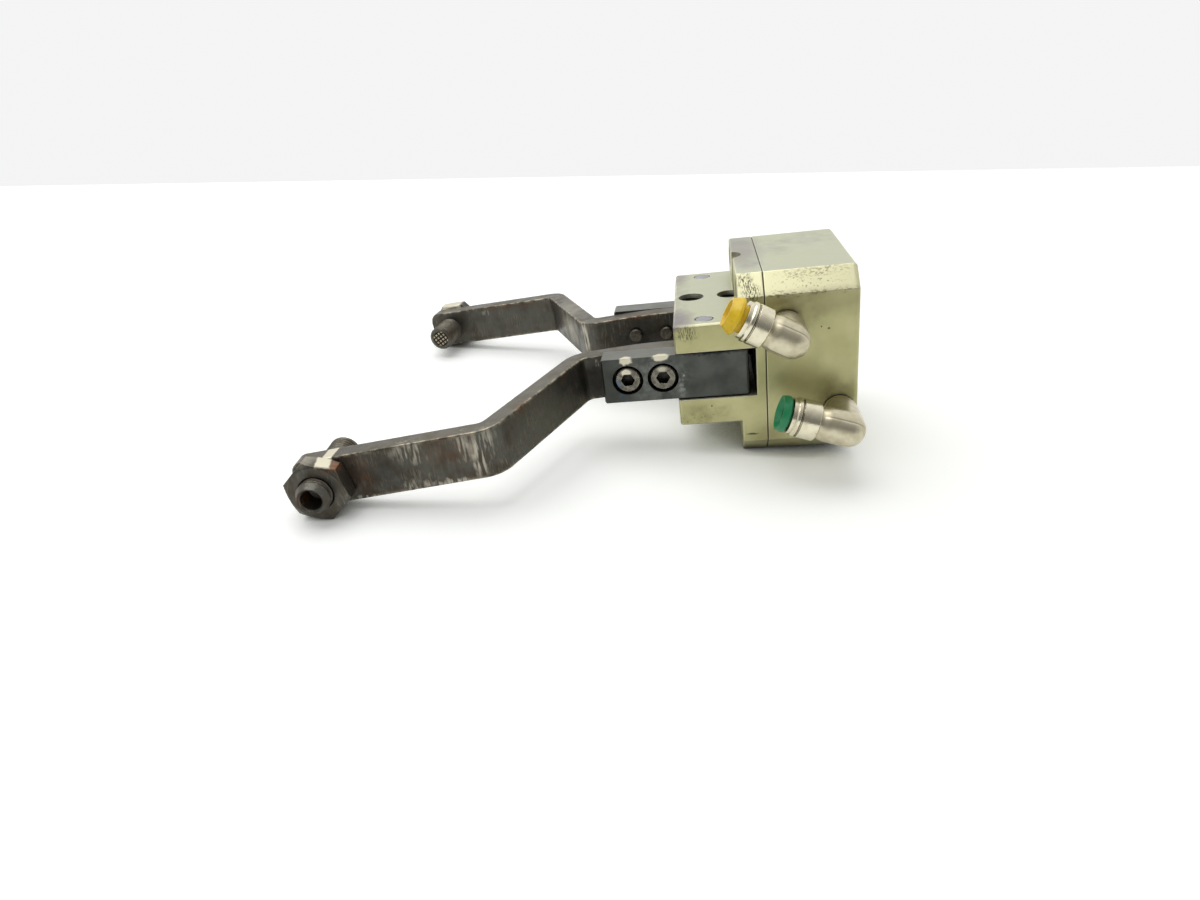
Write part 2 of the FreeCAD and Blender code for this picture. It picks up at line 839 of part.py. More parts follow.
# Crimped sleeve with a bead between two grooves beside the ring
def make_collar(height, reach, end):
    neck = end - collar_lip_length
    bead_end = neck - collar_groove
    bead = bead_end - collar_bead_length
    bead_side = collar_radius - collar_bead_edge
    floor = collar_radius - collar_groove_depth
    lip = collar_radius - collar_lip_drop
    return on_tube([
        (reach, collar_bore),
        (reach, collar_radius - head_edge),
        (reach + head_edge, collar_radius),
        (bead - collar_groove, collar_radius),
        (bead - collar_groove, floor),
        (bead, floor),
        (bead, bead_side),
        (bead + collar_bead_edge, collar_radius),
        (bead_end - collar_bead_edge, collar_radius),
        (bead_end, bead_side),
        (bead_end, floor),
        (neck, floor),
        (neck, lip),
        (end, lip),
        (end, nose_bore),
        (neck, nose_bore),
        (reach + nose_length, collar_bore),
    ], height)


def make_tube_seal(height, reach):
    outer = nose_bore - press_clearance
    inner = ring_bore + tube_clearance
    start = reach - seal_half
    end = reach + seal_half
    return on_tube([(start, inner), (start, outer), (end, outer), (end, inner)], height)


# Release ring: a rim with a funnel mouth outside the collar, and the collet tail that grips the tube
def make_release_ring(height, reach, start, end, front):
    tail = reach + seal_half + ring_tail_gap
    return on_tube([
        (tail, ring_bore),
        (tail, ring_tail),
        (start, ring_tail),
        (start, ring_rim_radius - ring_rim_edge),
        (start + ring_rim_edge, ring_rim_radius),
        (start + ring_rim_land, ring_rim_radius),
        (end, front),
        (end, front - ring_mouth_wall),
        (end - ring_mouth_depth, ring_bore),
    ], height)


def add_fitting(name, x, z, turn, height, reach, collar_length, ring_out, ring_length, front):
    collar_end = reach + collar_length
    start = collar_end + ring_out
    end = start + ring_length
    parts[name + "_stem"] = on_port(make_stem(height), x, z, turn)
    parts[name + "_stem_washer"] = on_port(make_stem_washer(), x, z, turn)
    parts[name + "_elbow"] = on_port(make_elbow(height, reach), x, z, turn)
    parts[name + "_collar"] = on_port(make_collar(height, reach, collar_end), x, z, turn)
    parts[name + "_tube_seal"] = on_port(make_tube_seal(height, reach), x, z, turn)
    ring = make_release_ring(height, reach, start, end, front)
    parts[name + "_release_ring"] = on_port(ring, x, z, turn)


parts["cylinder_housing"] = make_cylinder_housing()
parts["jaw_housing"] = make_jaw_housing()
parts["flange_screws"] = make_flange_screws()
parts["seam_o_ring"] = make_seam_o_ring()
parts["rod_bush"] = make_rod_bush()
parts["rod_seal"] = make_rod_seal()
parts["piston"] = make_piston()
parts["piston_seal"] = make_piston_seal()
parts["piston_nut"] = make_piston_nut()
parts["piston_rod"] = make_piston_rod()
parts["crosshead"] = make_crosshead()
parts["drive_pins"] = make_drive_pins()
parts["closing_spring"] = make_closing_spring()
bolt_settings = {-1: (near_bolt_reach, near_nut_turn), 1: (far_bolt_reach, far_nut_turn)}
for side, word in ((-1, "near"), (1, "far")):
    bolt_reach, turn = bolt_settings[side]
    parts["pivot_pin_" + word] = make_pivot_pin(side)
    parts["base_jaw_" + word] = make_base_jaw(side)
    parts["finger_" + word] = make_finger(side)
    parts["finger_screws_" + word] = make_finger_screws(side)
    parts["grip_bolt_" + word] = make_grip_bolt(side, bolt_reach)
    parts["lock_nut_" + word] = make_lock_nut(side, turn)
add_fitting(
    "upper", upper_port_x, upper_port_z, upper_turn, upper_height, upper_reach,
    upper_collar_length, upper_ring_out, upper_ring_length, upper_ring_front,
)
add_fitting(
    "lower", lower_port_x, lower_port_z, lower_turn, lower_height, lower_reach,
    lower_collar_length, lower_ring_out, lower_ring_length, lower_ring_front,
)

os.makedirs("parts", exist_ok=True)
for name, shape in parts.items():
    shape.exportStep("parts/" + name + ".step")
    print(name, len(shape.Solids), round(shape.Volume, 1), shape.isValid())
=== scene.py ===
import math

import bmesh
import bpy
import numpy as np
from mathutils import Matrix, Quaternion, Vector


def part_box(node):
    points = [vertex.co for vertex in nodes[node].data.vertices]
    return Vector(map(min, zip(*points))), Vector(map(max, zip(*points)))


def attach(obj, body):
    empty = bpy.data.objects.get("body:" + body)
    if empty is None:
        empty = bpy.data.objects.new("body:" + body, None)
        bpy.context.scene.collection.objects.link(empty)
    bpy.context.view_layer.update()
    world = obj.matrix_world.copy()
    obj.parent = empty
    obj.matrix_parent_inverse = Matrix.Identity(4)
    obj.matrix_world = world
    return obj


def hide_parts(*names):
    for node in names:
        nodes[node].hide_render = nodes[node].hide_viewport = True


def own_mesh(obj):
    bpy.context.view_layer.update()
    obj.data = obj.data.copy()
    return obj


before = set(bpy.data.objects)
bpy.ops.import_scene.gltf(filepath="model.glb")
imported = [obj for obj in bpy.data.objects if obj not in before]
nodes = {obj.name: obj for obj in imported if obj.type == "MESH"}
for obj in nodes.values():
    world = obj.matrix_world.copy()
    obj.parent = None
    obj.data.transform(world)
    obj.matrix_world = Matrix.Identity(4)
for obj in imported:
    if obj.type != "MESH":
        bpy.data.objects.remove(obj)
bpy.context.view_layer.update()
mm = 0.001  # a millimetre in scene units
fullTurn = 2 * math.pi
noiseDetail = 3.0
edgeSamples = 6
skySamples = 8


def linear(hexColour):  # sRGB hex to linear RGBA
    share = np.array([int(hexColour[k:k + 2], 16) for k in (1, 3, 5)]) / 255
    bent = ((share + 0.055) / 1.055) ** 2.4
    return (*np.where(share <= 0.04045, share / 12.92, bent).tolist(), 1.0)


def addNode(tree, kind, inputs=None, out=0, **settings):  # new shader node, set and linked
    node = tree.nodes.new("ShaderNode" + kind)
    for name, value in settings.items():
        setattr(node, name, value)
    for socket, value in (inputs or {}).items():
        if isinstance(value, bpy.types.NodeSocket):
            tree.links.new(value, node.inputs[socket])
        else:
            node.inputs[socket].default_value = value
    return node if out is None else node.outputs[out]


def addObject(name, data):  # new object at the origin of the scene
    made = bpy.data.objects.new(name, data)
    bpy.context.scene.collection.objects.link(made)
    return made


def newMaterial(name, **fixed):  # principled material, with its steady values on the shader's own sockets
    material = bpy.data.materials.new(name)
    material.use_nodes = True
    tree = material.node_tree
    shader = tree.nodes["Principled BSDF"]
    for socket, value in fixed.items():
        shader.inputs[socket.replace("_", " ")].default_value = value
    return material, tree, shader, addNode(tree, "TexCoord", out="Object")


def speckle(tree, where, size, low, high, stretch=None):
    # noise with blobs about size mm wide, cut to 0..1 between two levels
    if stretch:
        where = addNode(tree, "Mapping", {"Vector": where, "Scale": stretch})
    noise = addNode(tree, "TexNoise", {"Vector": where, "Scale": 1 / (size * mm), "Detail": noiseDetail})
    return addNode(tree, "MapRange", {"Value": noise, "From Min": low, "From Max": high})


def patch(tree, where, centre, size, soft=0.6):
    # 1 inside an ellipsoid about a point in mm, fading to 0 at its rim
    offset = addNode(tree, "VectorMath", {0: where, 1: [c * mm for c in centre]}, operation="SUBTRACT")
    scaled = addNode(tree, "VectorMath", {0: offset, 1: [s * mm for s in size]}, operation="DIVIDE")
    reach = addNode(tree, "VectorMath", {0: scaled}, out="Value", operation="LENGTH")
    return addNode(tree, "MapRange", {"Value": reach, "From Min": 1.0, "From Max": 1.0 - soft})


def slab(tree, where, centre, size, turn, soft=0.2):
    # 1 inside a box about a point in mm, turned some degrees about Z, fading to 0 at its faces
    offset = addNode(tree, "VectorMath", {0: where, 1: [c * mm for c in centre]}, operation="SUBTRACT")
    turned = addNode(tree, "VectorRotate", {"Vector": offset, "Angle": -math.radians(turn)},
                     rotation_type="Z_AXIS")
    scaled = addNode(tree, "VectorMath", {0: turned, 1: [s * mm for s in size]}, operation="DIVIDE")
    apart = addNode(tree, "VectorMath", {0: scaled}, operation="ABSOLUTE")
    x, y, z = addNode(tree, "SeparateXYZ", {0: apart}, out=None).outputs
    level = addNode(tree, "Math", {0: x, 1: y}, operation="MAXIMUM")
    reach = addNode(tree, "Math", {0: level, 1: z}, operation="MAXIMUM")
    return addNode(tree, "MapRange", {"Value": reach, "From Min": 1.0, "From Max": 1.0 - soft})


def ragged(tree, where, size, reach):  # coordinates shaken by noise, so that a patch gets a torn rim
    noise = addNode(tree, "TexNoise", {"Vector": where, "Scale": 1 / (size * mm), "Detail": noiseDetail},
                    out="Color")
    shake = addNode(tree, "VectorMath", {0: noise, 1: (0.5, 0.5, 0.5)}, operation="SUBTRACT")
    scaled = addNode(tree, "VectorMath", {0: shake, "Scale": 2 * reach * mm}, operation="SCALE")
    return addNode(tree, "VectorMath", {0: where, 1: scaled}, operation="ADD")


def stain(tree, below, colour, strength, *masks):
    # lays a colour over what is below, by its strength and where all masks agree
    cover = strength
    for mask in masks:
        cover = addNode(tree, "Math", {0: cover, 1: mask}, operation="MULTIPLY")
    return addNode(tree, "Mix", {0: cover, 6: below, 7: linear(colour)}, out=2, data_type="RGBA")


def crevice(tree, distance, start, full):
    # 1 in holes and tight corners, found from how much of the sky is hidden within distance mm; the looks paint
    # shade there with it
    openness = addNode(tree, "AmbientOcclusion", {"Distance": distance * mm}, out="AO", samples=skySamples)
    return addNode(tree, "MapRange", {"Value": openness, "From Min": start, "From Max": full})


def wornEdge(tree, rounded, start=0.985, full=0.86):  # 1 on edges, where a rounded normal leaves the plain one
    plain = addNode(tree, "NewGeometry", out="Normal")
    agree = addNode(tree, "VectorMath", {0: rounded, 1: plain}, out="Value", operation="DOT_PRODUCT")
    return addNode(tree, "MapRange", {"Value": agree, "From Min": start, "From Max": full})


def upward(tree, start, full):  # 1 on faces that look up
    normal = addNode(tree, "NewGeometry", out="Normal")
    height = addNode(tree, "SeparateXYZ", {0: normal}, out="Z")
    return addNode(tree, "MapRange", {"Value": height, "From Min": start, "From Max": full})


def finishShader(tree, shader, colour, cloud, roughness, height, depth, normal=None):
    # links the colour, a roughness that follows the clouds, and a bump whose full step is depth mm
    tree.links.new(colour, shader.inputs["Base Color"])
    spread = addNode(tree, "MapRange", {"Value": cloud, "To Min": roughness[0], "To Max": roughness[1]})
    tree.links.new(spread, shader.inputs["Roughness"])
    bump = addNode(tree, "Bump", {"Height": height, "Distance": depth * mm, "Strength": 1.0}, out=None)
    if normal is not None:
        tree.links.new(normal, bump.inputs["Normal"])
    tree.links.new(bump.outputs[0], shader.inputs["Normal"])


# In every look below: a grain is its size in mm, the two levels it is cut between and its stretch; torn and
# shaken rims are a size and a reach in mm; corners are a distance in mm and two levels; edge and bump are in mm.
anodisedLook = {
    "pale": "#c0bd8c", "olive": "#b2af7d", "bevel": "#e0ddb7", "dust": "#babca1", "dirt": "#2e2a20",
    "brown": "#6a5d3f", "violet": "#7f777a", "black": "#0d0c0a", "grease": "#26241a", "worn": "#e9e7da",
    "metallic": 0.72, "coat": 0.15, "coatRoughness": 0.35, "roughness": (0.36, 0.52), "edge": 0.5, "bump": 0.008,
    "cloud": (11.0, 0.35, 0.7), "soft": (4.0, 0.35, 0.65), "sparse": (0.7, 0.6, 0.66), "grit": (0.35, 0.3, 0.7),
    "fine": (0.55, 0.5, 0.6, (0.5, 1, 1)), "strokes": (0.34, 0.46, 0.54, (1, 0.35, 0.25)),
    "torn": (2.5, 1.5), "shaken": (0.8, 0.25), "corners": (9, 0.45, 0.15),
    "bevelTilt": (0.5, 0.68), "topTilt": (0.8, 0.98),
    "seamX": -28.0, "seamHalf": 0.25, "seamReach": 90, "seamSoft": 0.35,
    "holesX": (-50.3, -37.3), "holeRadius": 4.34, "holeReach": 1000, "holeSoft": 0.03,
    "cover": {"bevel": 0.8, "dust": 0.95, "worn": 0.8, "dots": 0.85, "seam": 0.8, "holes": 0.93, "corners": 0.9},
}


def hardAnodisedAluminium():
    # hard anodised, blasted aluminium: satin khaki with wide soft highlights, dirt bitten into its scuffs;
    # the blasted grit is near 0.1 mm and is drawn coarser, so that it shows
    look = anodisedLook
    cover = look["cover"]
    material, tree, shader, where = newMaterial("hard anodised aluminium", Metallic=look["metallic"],
                                                Coat_Weight=look["coat"], Coat_Roughness=look["coatRoughness"])
    rounded = addNode(tree, "Bevel", {"Radius": look["edge"] * mm}, samples=edgeSamples)
    cloud, soft, sparse, grit, fine, strokes = (
        speckle(tree, where, *look[k]) for k in ("cloud", "soft", "sparse", "grit", "fine", "strokes"))
    torn = ragged(tree, where, *look["torn"])
    shaken = ragged(tree, where, *look["shaken"])
    colour = stain(tree, linear(look["pale"]), look["olive"], cloud)
    # painted highlight: the bevels, which face the soft box overhead, drawn in a pale colour
    colour = stain(tree, colour, look["bevel"], cover["bevel"], upward(tree, *look["bevelTilt"]))
    # painted light: the tops drawn lighter and greyer, partly as dust
    colour = stain(tree, colour, look["dust"], cover["dust"], upward(tree, *look["topTilt"]))
    # pale worn edges, drawn also as a painted edge highlight
    colour = stain(tree, colour, look["worn"], cover["worn"], wornEdge(tree, rounded))
    for tone, strength, centre, size, mask in (
        ("dirt", 0.55, (-18, -30, 24), (34, 1.5, 1.1), fine),        # lower edge of the near bevel
        ("brown", 0.6, (-13, -25, 29), (14, 2.2, 2.2), fine),        # scuffs near its upper edge
        ("brown", 0.6, (-24.5, -29.4, 24.8), (4, 1.6, 1.6), fine),
        ("dirt", 0.9, (-33.4, -26, 28), (3.0, 3.4, 3.4), strokes),   # scuffed flange bevel
        ("dirt", 0.9, (-31.6, -29, 25.4), (3.6, 3.0, 3.6), strokes),
        ("dirt", 0.5, (-14, -27, 27), (15, 5, 5), sparse),           # freckles along the cylinder bevel
        ("brown", 0.32, (-12, -30, 21), (26, 3, 6), 1.0),            # painted shade: a brown band under the bevel
        ("brown", 0.5, (-20, -30, 18), (14, 3, 7), soft),
        ("brown", 0.35, (-28, -30, -24), (7, 3, 8), 1.0),            # greasy foot of the flange
        ("brown", 0.4, (-46, -30, -13), (14, 3, 5), soft),
        ("brown", 0.5, (-23, -30, 13), (10, 3, 10), soft),           # darker behind the upper elbow
        ("brown", 0.35, (-6, -30, -12), (12, 3, 12), soft),          # and behind the lower one
        ("violet", 0.85, (-56, -24, 17), (8, 13, 2), 1.0),           # stains on the tower's top
        ("violet", 0.6, (-56, 25, 17), (6, 11, 2), 1.0),
        ("violet", 0.45, (-56, 2, 17), (6, 36, 2), soft),
        ("violet", 0.6, (-33, 8, 30), (9, 30, 2), 1.0),              # greyed flange top
        ("violet", 0.4, (-31, -14, 30), (5, 9, 2), soft),
        ("violet", 0.3, (-21, 8, 30), (7, 16, 2), soft),             # clouds on the cylinder's top
        ("violet", 0.3, (-8, 12, 30), (12, 14, 2), soft),
        ("dirt", 0.65, (-52, -30, 14.2), (4.6, 1.2, 3.2), strokes),  # hatched scratches
        ("brown", 0.7, (-50, -30, -15), (9, 2, 4), sparse),          # smudges on the lower cheek
    ):
        colour = stain(tree, colour, look[tone], strength, mask, patch(tree, torn, centre, size))
    for centre, size in (
        ((-33, -30, -21.6), (2.4, 1.0, 0.5)),                        # dash low on the flange
        ((-9.2, -30, 12.4), (0.5, 1, 0.5)), ((-14.8, -30, 8.4), (0.45, 1, 0.45)),       # dark dots
        ((-11.4, -30, 13.2), (0.35, 1, 0.35)), ((-45.5, -30, -10.6), (0.4, 1, 0.4)),
    ):
        colour = stain(tree, colour, look["dirt"], cover["dots"], patch(tree, shaken, centre, size))
    reach = look["seamReach"]
    seam = patch(tree, where, (look["seamX"], 0, 0), (look["seamHalf"], reach, reach), look["seamSoft"])
    colour = stain(tree, colour, look["grease"], cover["seam"], seam)
    # painted shade: the side holes drawn black inside
    for x in look["holesX"]:
        size = (look["holeRadius"], look["holeRadius"], look["holeReach"])
        colour = stain(tree, colour, look["black"], cover["holes"],
                       patch(tree, where, (x, 0, 0), size, look["holeSoft"]))
    # painted shade: holes and tight corners darkened towards black
    colour = stain(tree, colour, look["black"], cover["corners"], crevice(tree, *look["corners"]))
    finishShader(tree, shader, colour, cloud, look["roughness"], grit, look["bump"], rounded)
    return material


burnishedLook = {
    "steel": "#525450", "dark": "#444643", "top": "#73736b", "shade": "#30322e", "smear": "#a3a79f",
    "paint": "#d9d3bd", "blue": "#3b5a70", "worn": "#8d8f8c", "black": "#0c0c0c",
    "metallic": 0.85, "roughness": (0.3, 0.44), "edge": 0.3, "bump": 0.006,
    "cloud": (7.0, 0.35, 0.65), "lines": (0.4, 0.35, 0.65, (0.05, 1, 1)), "soft": (1.6, 0.4, 0.6),
    "torn": (1.2, 0.9), "topTilt": (0.6, 0.95), "corners": (5, 0.42, 0.15), "paintSoft": 0.25,
    "cover": {"top": 0.85, "worn": 0.5, "paint": 0.95, "corners": 0.85},
}


def burnishedSteel():
    # burnished, blackened tool steel: even dark grey with a dull shine and fine grinding lines along X,
    # drawn coarser than real ones, so that they show
    look = burnishedLook
    cover = look["cover"]
    material, tree, shader, where = newMaterial("burnished steel", Metallic=look["metallic"])
    rounded = addNode(tree, "Bevel", {"Radius": look["edge"] * mm}, samples=edgeSamples)
    cloud, lines, soft = (speckle(tree, where, *look[k]) for k in ("cloud", "lines", "soft"))
    torn = ragged(tree, where, *look["torn"])
    colour = stain(tree, linear(look["steel"]), look["dark"], cloud)
    # painted light: faces that look up drawn lighter
    colour = stain(tree, colour, look["top"], cover["top"], upward(tree, *look["topTilt"]))
    colour = stain(tree, colour, look["worn"], cover["worn"], wornEdge(tree, rounded))
    for tone, strength, centre, size, mask in (
        ("shade", 0.6, (-77, -29.2, -1), (8, 1.5, 9), 1.0),          # darker end
        ("black", 0.9, (-43.5, -29.2, 7.8), (14.5, 1.4, 1.5), 1.0),  # painted shadow of the gap along the slot
        ("smear", 0.8, (-53.8, -29.2, 1.0), (0.7, 1, 1.3), soft),    # pale scrape beside the screws
        ("smear", 0.35, (-54.6, -29.2, -4), (1.2, 1, 5), soft),
        ("smear", 0.2, (-63, -29.2, 0), (14, 1.5, 9), soft),
        ("blue", 0.6, (-73.8, -29.0, -5.2), (2.0, 3, 1.2), soft),    # blue marking left in a counterbore
        ("blue", 0.6, (-72.5, -29.2, -7.3), (1.4, 1, 0.9), soft),
    ):
        colour = stain(tree, colour, look[tone], strength, mask, patch(tree, torn, centre, size))
    for centre, size in (((-71.9, -29.2, 7.0), (2.2, 2.2, 1.9)), ((-60.6, -29.2, 7.3), (3.0, 2.2, 1.7))):
        colour = stain(tree, colour, look["paint"], cover["paint"],
                       patch(tree, torn, centre, size, look["paintSoft"]))  # paint over the counterbores
    # painted shade: counterbores and tight corners darkened towards black
    colour = stain(tree, colour, look["black"], cover["corners"], crevice(tree, *look["corners"]))
    finishShader(tree, shader, colour, cloud, look["roughness"], lines, look["bump"], rounded)
    return material


blackenedLook = {
    "steel": "#54534c", "brown": "#514a3f", "rust": "#67462f", "top": "#635f53", "bright": "#c2b79e",
    "orange": "#8f5a34", "grey": "#6f6e64", "chalk": "#b9b3a3", "paint": "#d9d3bd", "dark": "#191613",
    "metallic": 0.75, "roughness": (0.36, 0.58), "edge": 0.25, "bump": 0.015,
    "cloud": (5.0, 0.42, 0.68), "blotch": (2.2, 0.54, 0.68), "handled": (6.0, 0.46, 0.62),
    "fine": (0.7, 0.45, 0.6), "mottle": (1.8, 0.36, 0.62), "wearSize": 2.2,
    "streaks": (0.45, 0.52, 0.66, (1, 1, 0.14)), "coarse": (1.1, 0.46, 0.6, (1, 1, 0.16)),
    "torn": (1.5, 1.2), "shaken": (0.8, 0.35), "topTilt": (0.6, 0.95), "shadeSoft": 0.8,
    "cover": {"blotch": 0.15, "coarse": 0.15, "streaks": 0.2, "rustyEdge": 0.55, "bareEdge": 0.85,
              "hollow": 0.75, "rustyHollow": 0.6, "paint": 0.95},
}


def blackenedSteel(name, flats=0.0, worn=None, dark=None, broken=(0.42, 0.6),
                   chalk=(), rust=(), shade=(), paint=()):
    # blackened steel gone brown with handling: dull, streaked across the bar, bare and bright on its edges
    look = blackenedLook
    cover = look["cover"]
    material, tree, shader, where = newMaterial(name, Metallic=look["metallic"])
    rounded = addNode(tree, "Bevel", {"Radius": look["edge"] * mm}, samples=edgeSamples)
    cloud, blotch, handled, fine, mottle, streaks, coarse = (
        speckle(tree, where, *look[k])
        for k in ("cloud", "blotch", "handled", "fine", "mottle", "streaks", "coarse"))
    wear = speckle(tree, where, look["wearSize"], *broken)
    torn = ragged(tree, where, *look["torn"])
    shaken = ragged(tree, where, *look["shaken"])
    colour = stain(tree, linear(look["steel"]), look["brown"], cloud)
    colour = stain(tree, colour, look["rust"], cover["blotch"], blotch)
    colour = stain(tree, colour, look["dark"], cover["coarse"], coarse)
    colour = stain(tree, colour, look["bright"], cover["streaks"], streaks, handled)
    # painted light: faces that look up drawn lighter, by the given strength
    colour = stain(tree, colour, look["top"], flats, upward(tree, *look["topTilt"]))
    for tone, strength, centre, size in shade:
        colour = stain(tree, colour, look[tone], strength, patch(tree, torn, centre, size, look["shadeSoft"]))
    if worn:
        edges = addNode(tree, "Attribute", out="Fac", attribute_name=worn)
    else:
        edges = wornEdge(tree, rounded)
    colour = stain(tree, colour, look["rust"], cover["rustyEdge"], edges, blotch)
    colour = stain(tree, colour, look["bright"], cover["bareEdge"], edges, wear)
    # painted shade in the hollows named by the dark attribute, partly rusted
    if dark:
        hollow = addNode(tree, "Attribute", out="Fac", attribute_name=dark)
        colour = stain(tree, colour, look["dark"], cover["hollow"], hollow)
        colour = stain(tree, colour, look["rust"], cover["rustyHollow"], hollow, blotch)
    for strength, centre, size in chalk:
        colour = stain(tree, colour, look["chalk"], strength, coarse, patch(tree, torn, centre, size))
    for tone, strength, centre, size in rust:
        colour = stain(tree, colour, look[tone], strength, mottle, patch(tree, torn, centre, size))
    for centre, size, turn in paint:
        colour = stain(tree, colour, look["paint"], cover["paint"], slab(tree, shaken, centre, size, turn))
    finishShader(tree, shader, colour, cloud, look["roughness"], fine, look["bump"], rounded)
    return material


screwLook = {
    "steel": "#7d796e", "brown": "#4b463d", "grime": "#15120f", "paint": "#d9d3bd", "blue": "#3f6078",
    "worn": "#cfcab8", "metallic": 0.85, "roughness": (0.24, 0.42), "edge": 0.3, "bump": 0.01,
    "cloud": (1.3, 0.36, 0.72), "torn": (0.8, 0.4), "corners": (4, 0.72, 0.42),
    "cover": {"worn": 0.8, "corners": 0.97},
}


def screwSteel():
    # plated screw steel, worn brown: bright rims, black in the sockets, partly packed grease and partly painted
    # shade
    look = screwLook
    cover = look["cover"]
    material, tree, shader, where = newMaterial("screw steel", Metallic=look["metallic"])
    rounded = addNode(tree, "Bevel", {"Radius": look["edge"] * mm}, samples=edgeSamples)
    cloud = speckle(tree, where, *look["cloud"])
    torn = ragged(tree, where, *look["torn"])
    colour = stain(tree, linear(look["steel"]), look["brown"], cloud)
    colour = stain(tree, colour, look["worn"], cover["worn"], wornEdge(tree, rounded))
    for tone, strength, place, centre, size, soft in (
        ("blue", 0.6, torn, (-75.2, -29, -1.5), (1.5, 1.5, 2.8), 0.6),   # blue marking on the outer screw
        ("worn", 0.6, torn, (-60.6, -29, 2.9), (2.2, 1.5, 1.4), 0.6),    # bare spot on the inner screw
        ("paint", 0.9, torn, (-72.1, -29, 2.4), (1.7, 2.6, 1.7), 0.3),
        ("brown", 0.9, where, (-66, 12, 0), (24, 12, 12), 0.2),          # browner screws on the far jaw
    ):
        colour = stain(tree, colour, look[tone], strength, patch(tree, place, centre, size, soft))
    # painted shade: sockets and corners darkened, with packed grease
    colour = stain(tree, colour, look["grime"], cover["corners"], crevice(tree, *look["corners"]))
    finishShader(tree, shader, colour, cloud, look["roughness"], cloud, look["bump"], rounded)
    return material


nickelLook = {
    "turned": ("#e4dec6", "#d6cdb2"), "cast": ("#d0c9b0", "#c0b79b"), "grime": "#4d463a", "metallic": 1.0,
    "turnedRoughness": (0.18, 0.28), "castRoughness": (0.33, 0.45), "edge": 0.15, "bump": 0.008,
    "cloud": (3.0, 0.4, 0.65), "specks": (0.4, 0.64, 0.72), "ripple": (1.4, 0.3, 0.7),
    "corners": (1.0, 0.6, 0.3), "cover": {"crease": 0.8, "corners": 0.85, "specks": 0.2},
}


def nickelPlatedBrass(kind):
    # nickel plate on brass: warm silver, clear reflections where turned and blurred ones where cast
    look = nickelLook
    cover = look["cover"]
    material, tree, shader, where = newMaterial("nickel plated " + kind + " brass", Metallic=look["metallic"])
    rounded = addNode(tree, "Bevel", {"Radius": look["edge"] * mm}, samples=edgeSamples)
    cloud, specks, ripple = (speckle(tree, where, *look[k]) for k in ("cloud", "specks", "ripple"))
    colour = stain(tree, linear(look[kind][0]), look[kind][1], cloud)
    if kind == "cast":
        # painted shade along the foot of the raised panel, with grime
        creases = addNode(tree, "Attribute", out="Fac", attribute_name="crease")
        colour = stain(tree, colour, look["grime"], cover["crease"], creases)
    # painted shade in corners, in the grime colour
    colour = stain(tree, colour, look["grime"], cover["corners"], crevice(tree, *look["corners"]))
    colour = stain(tree, colour, look["grime"], cover["specks"], specks)
    finishShader(tree, shader, colour, cloud, look[kind + "Roughness"], ripple, look["bump"], rounded)
    return material


plasticLook = {
    "yellow": ("#e8c41e", "#ddb418", "#94701a"), "green": ("#1d8553", "#288e5e", "#16563a"),  # fresh, worn, dirt
    "ior": 1.48, "roughness": (0.32, 0.5), "edge": 0.25, "bump": 0.015, "cloud": (1.8, 0.4, 0.7),
    "specks": (0.7, 0.6, 0.72), "corners": (2, 0.5, 0.2), "cover": {"specks": 0.3, "corners": 0.6},
}


def mouldedPlastic(tint):
    # moulded acetal: smooth with a soft sheen, scuffed paler and greyed by grime
    look = plasticLook
    fresh, worn, dirt = look[tint]
    material, tree, shader, where = newMaterial(tint + " acetal", IOR=look["ior"])
    rounded = addNode(tree, "Bevel", {"Radius": look["edge"] * mm}, samples=edgeSamples)
    cloud, specks = (speckle(tree, where, *look[k]) for k in ("cloud", "specks"))
    colour = stain(tree, linear(fresh), worn, cloud)
    colour = stain(tree, colour, dirt, look["cover"]["specks"], specks)
    # painted shade in corners, in the dirt colour
    colour = stain(tree, colour, dirt, look["cover"]["corners"], crevice(tree, *look["corners"]))
    finishShader(tree, shader, colour, cloud, look["roughness"], cloud, look["bump"], rounded)
    return material


rubberLook = {
    "black": "#171717", "bloom": "#2a2927", "ior": 1.52, "roughness": (0.55, 0.8), "bump": 0.01,
    "cloud": (1.2, 0.4, 0.75),
}


def blackRubber():
    # nitrile rubber: deep grey-black, dull, with a faint bloom
    look = rubberLook
    material, tree, shader, where = newMaterial("nitrile rubber", IOR=look["ior"])
    cloud = speckle(tree, where, *look["cloud"])
    colour = stain(tree, linear(look["black"]), look["bloom"], cloud)
    finishShader(tree, shader, colour, cloud, look["roughness"], cloud, look["bump"])
    return material


metalLook = {"metallic": 1.0, "levels": (0.35, 0.65), "bump": 0.006}


def plainMetal(name, light, dark, grain, stretch=None, roughness=(0.25, 0.4)):
    # machined metal of an inner piece: even tone with the tool's marks, drawn grain mm apart so that they show
    look = metalLook
    material, tree, shader, where = newMaterial(name, Metallic=look["metallic"])
    marks = speckle(tree, where, grain, *look["levels"], stretch)
    colour = stain(tree, linear(light), dark, marks)
    finishShader(tree, shader, colour, marks, roughness, marks, look["bump"])
    return material


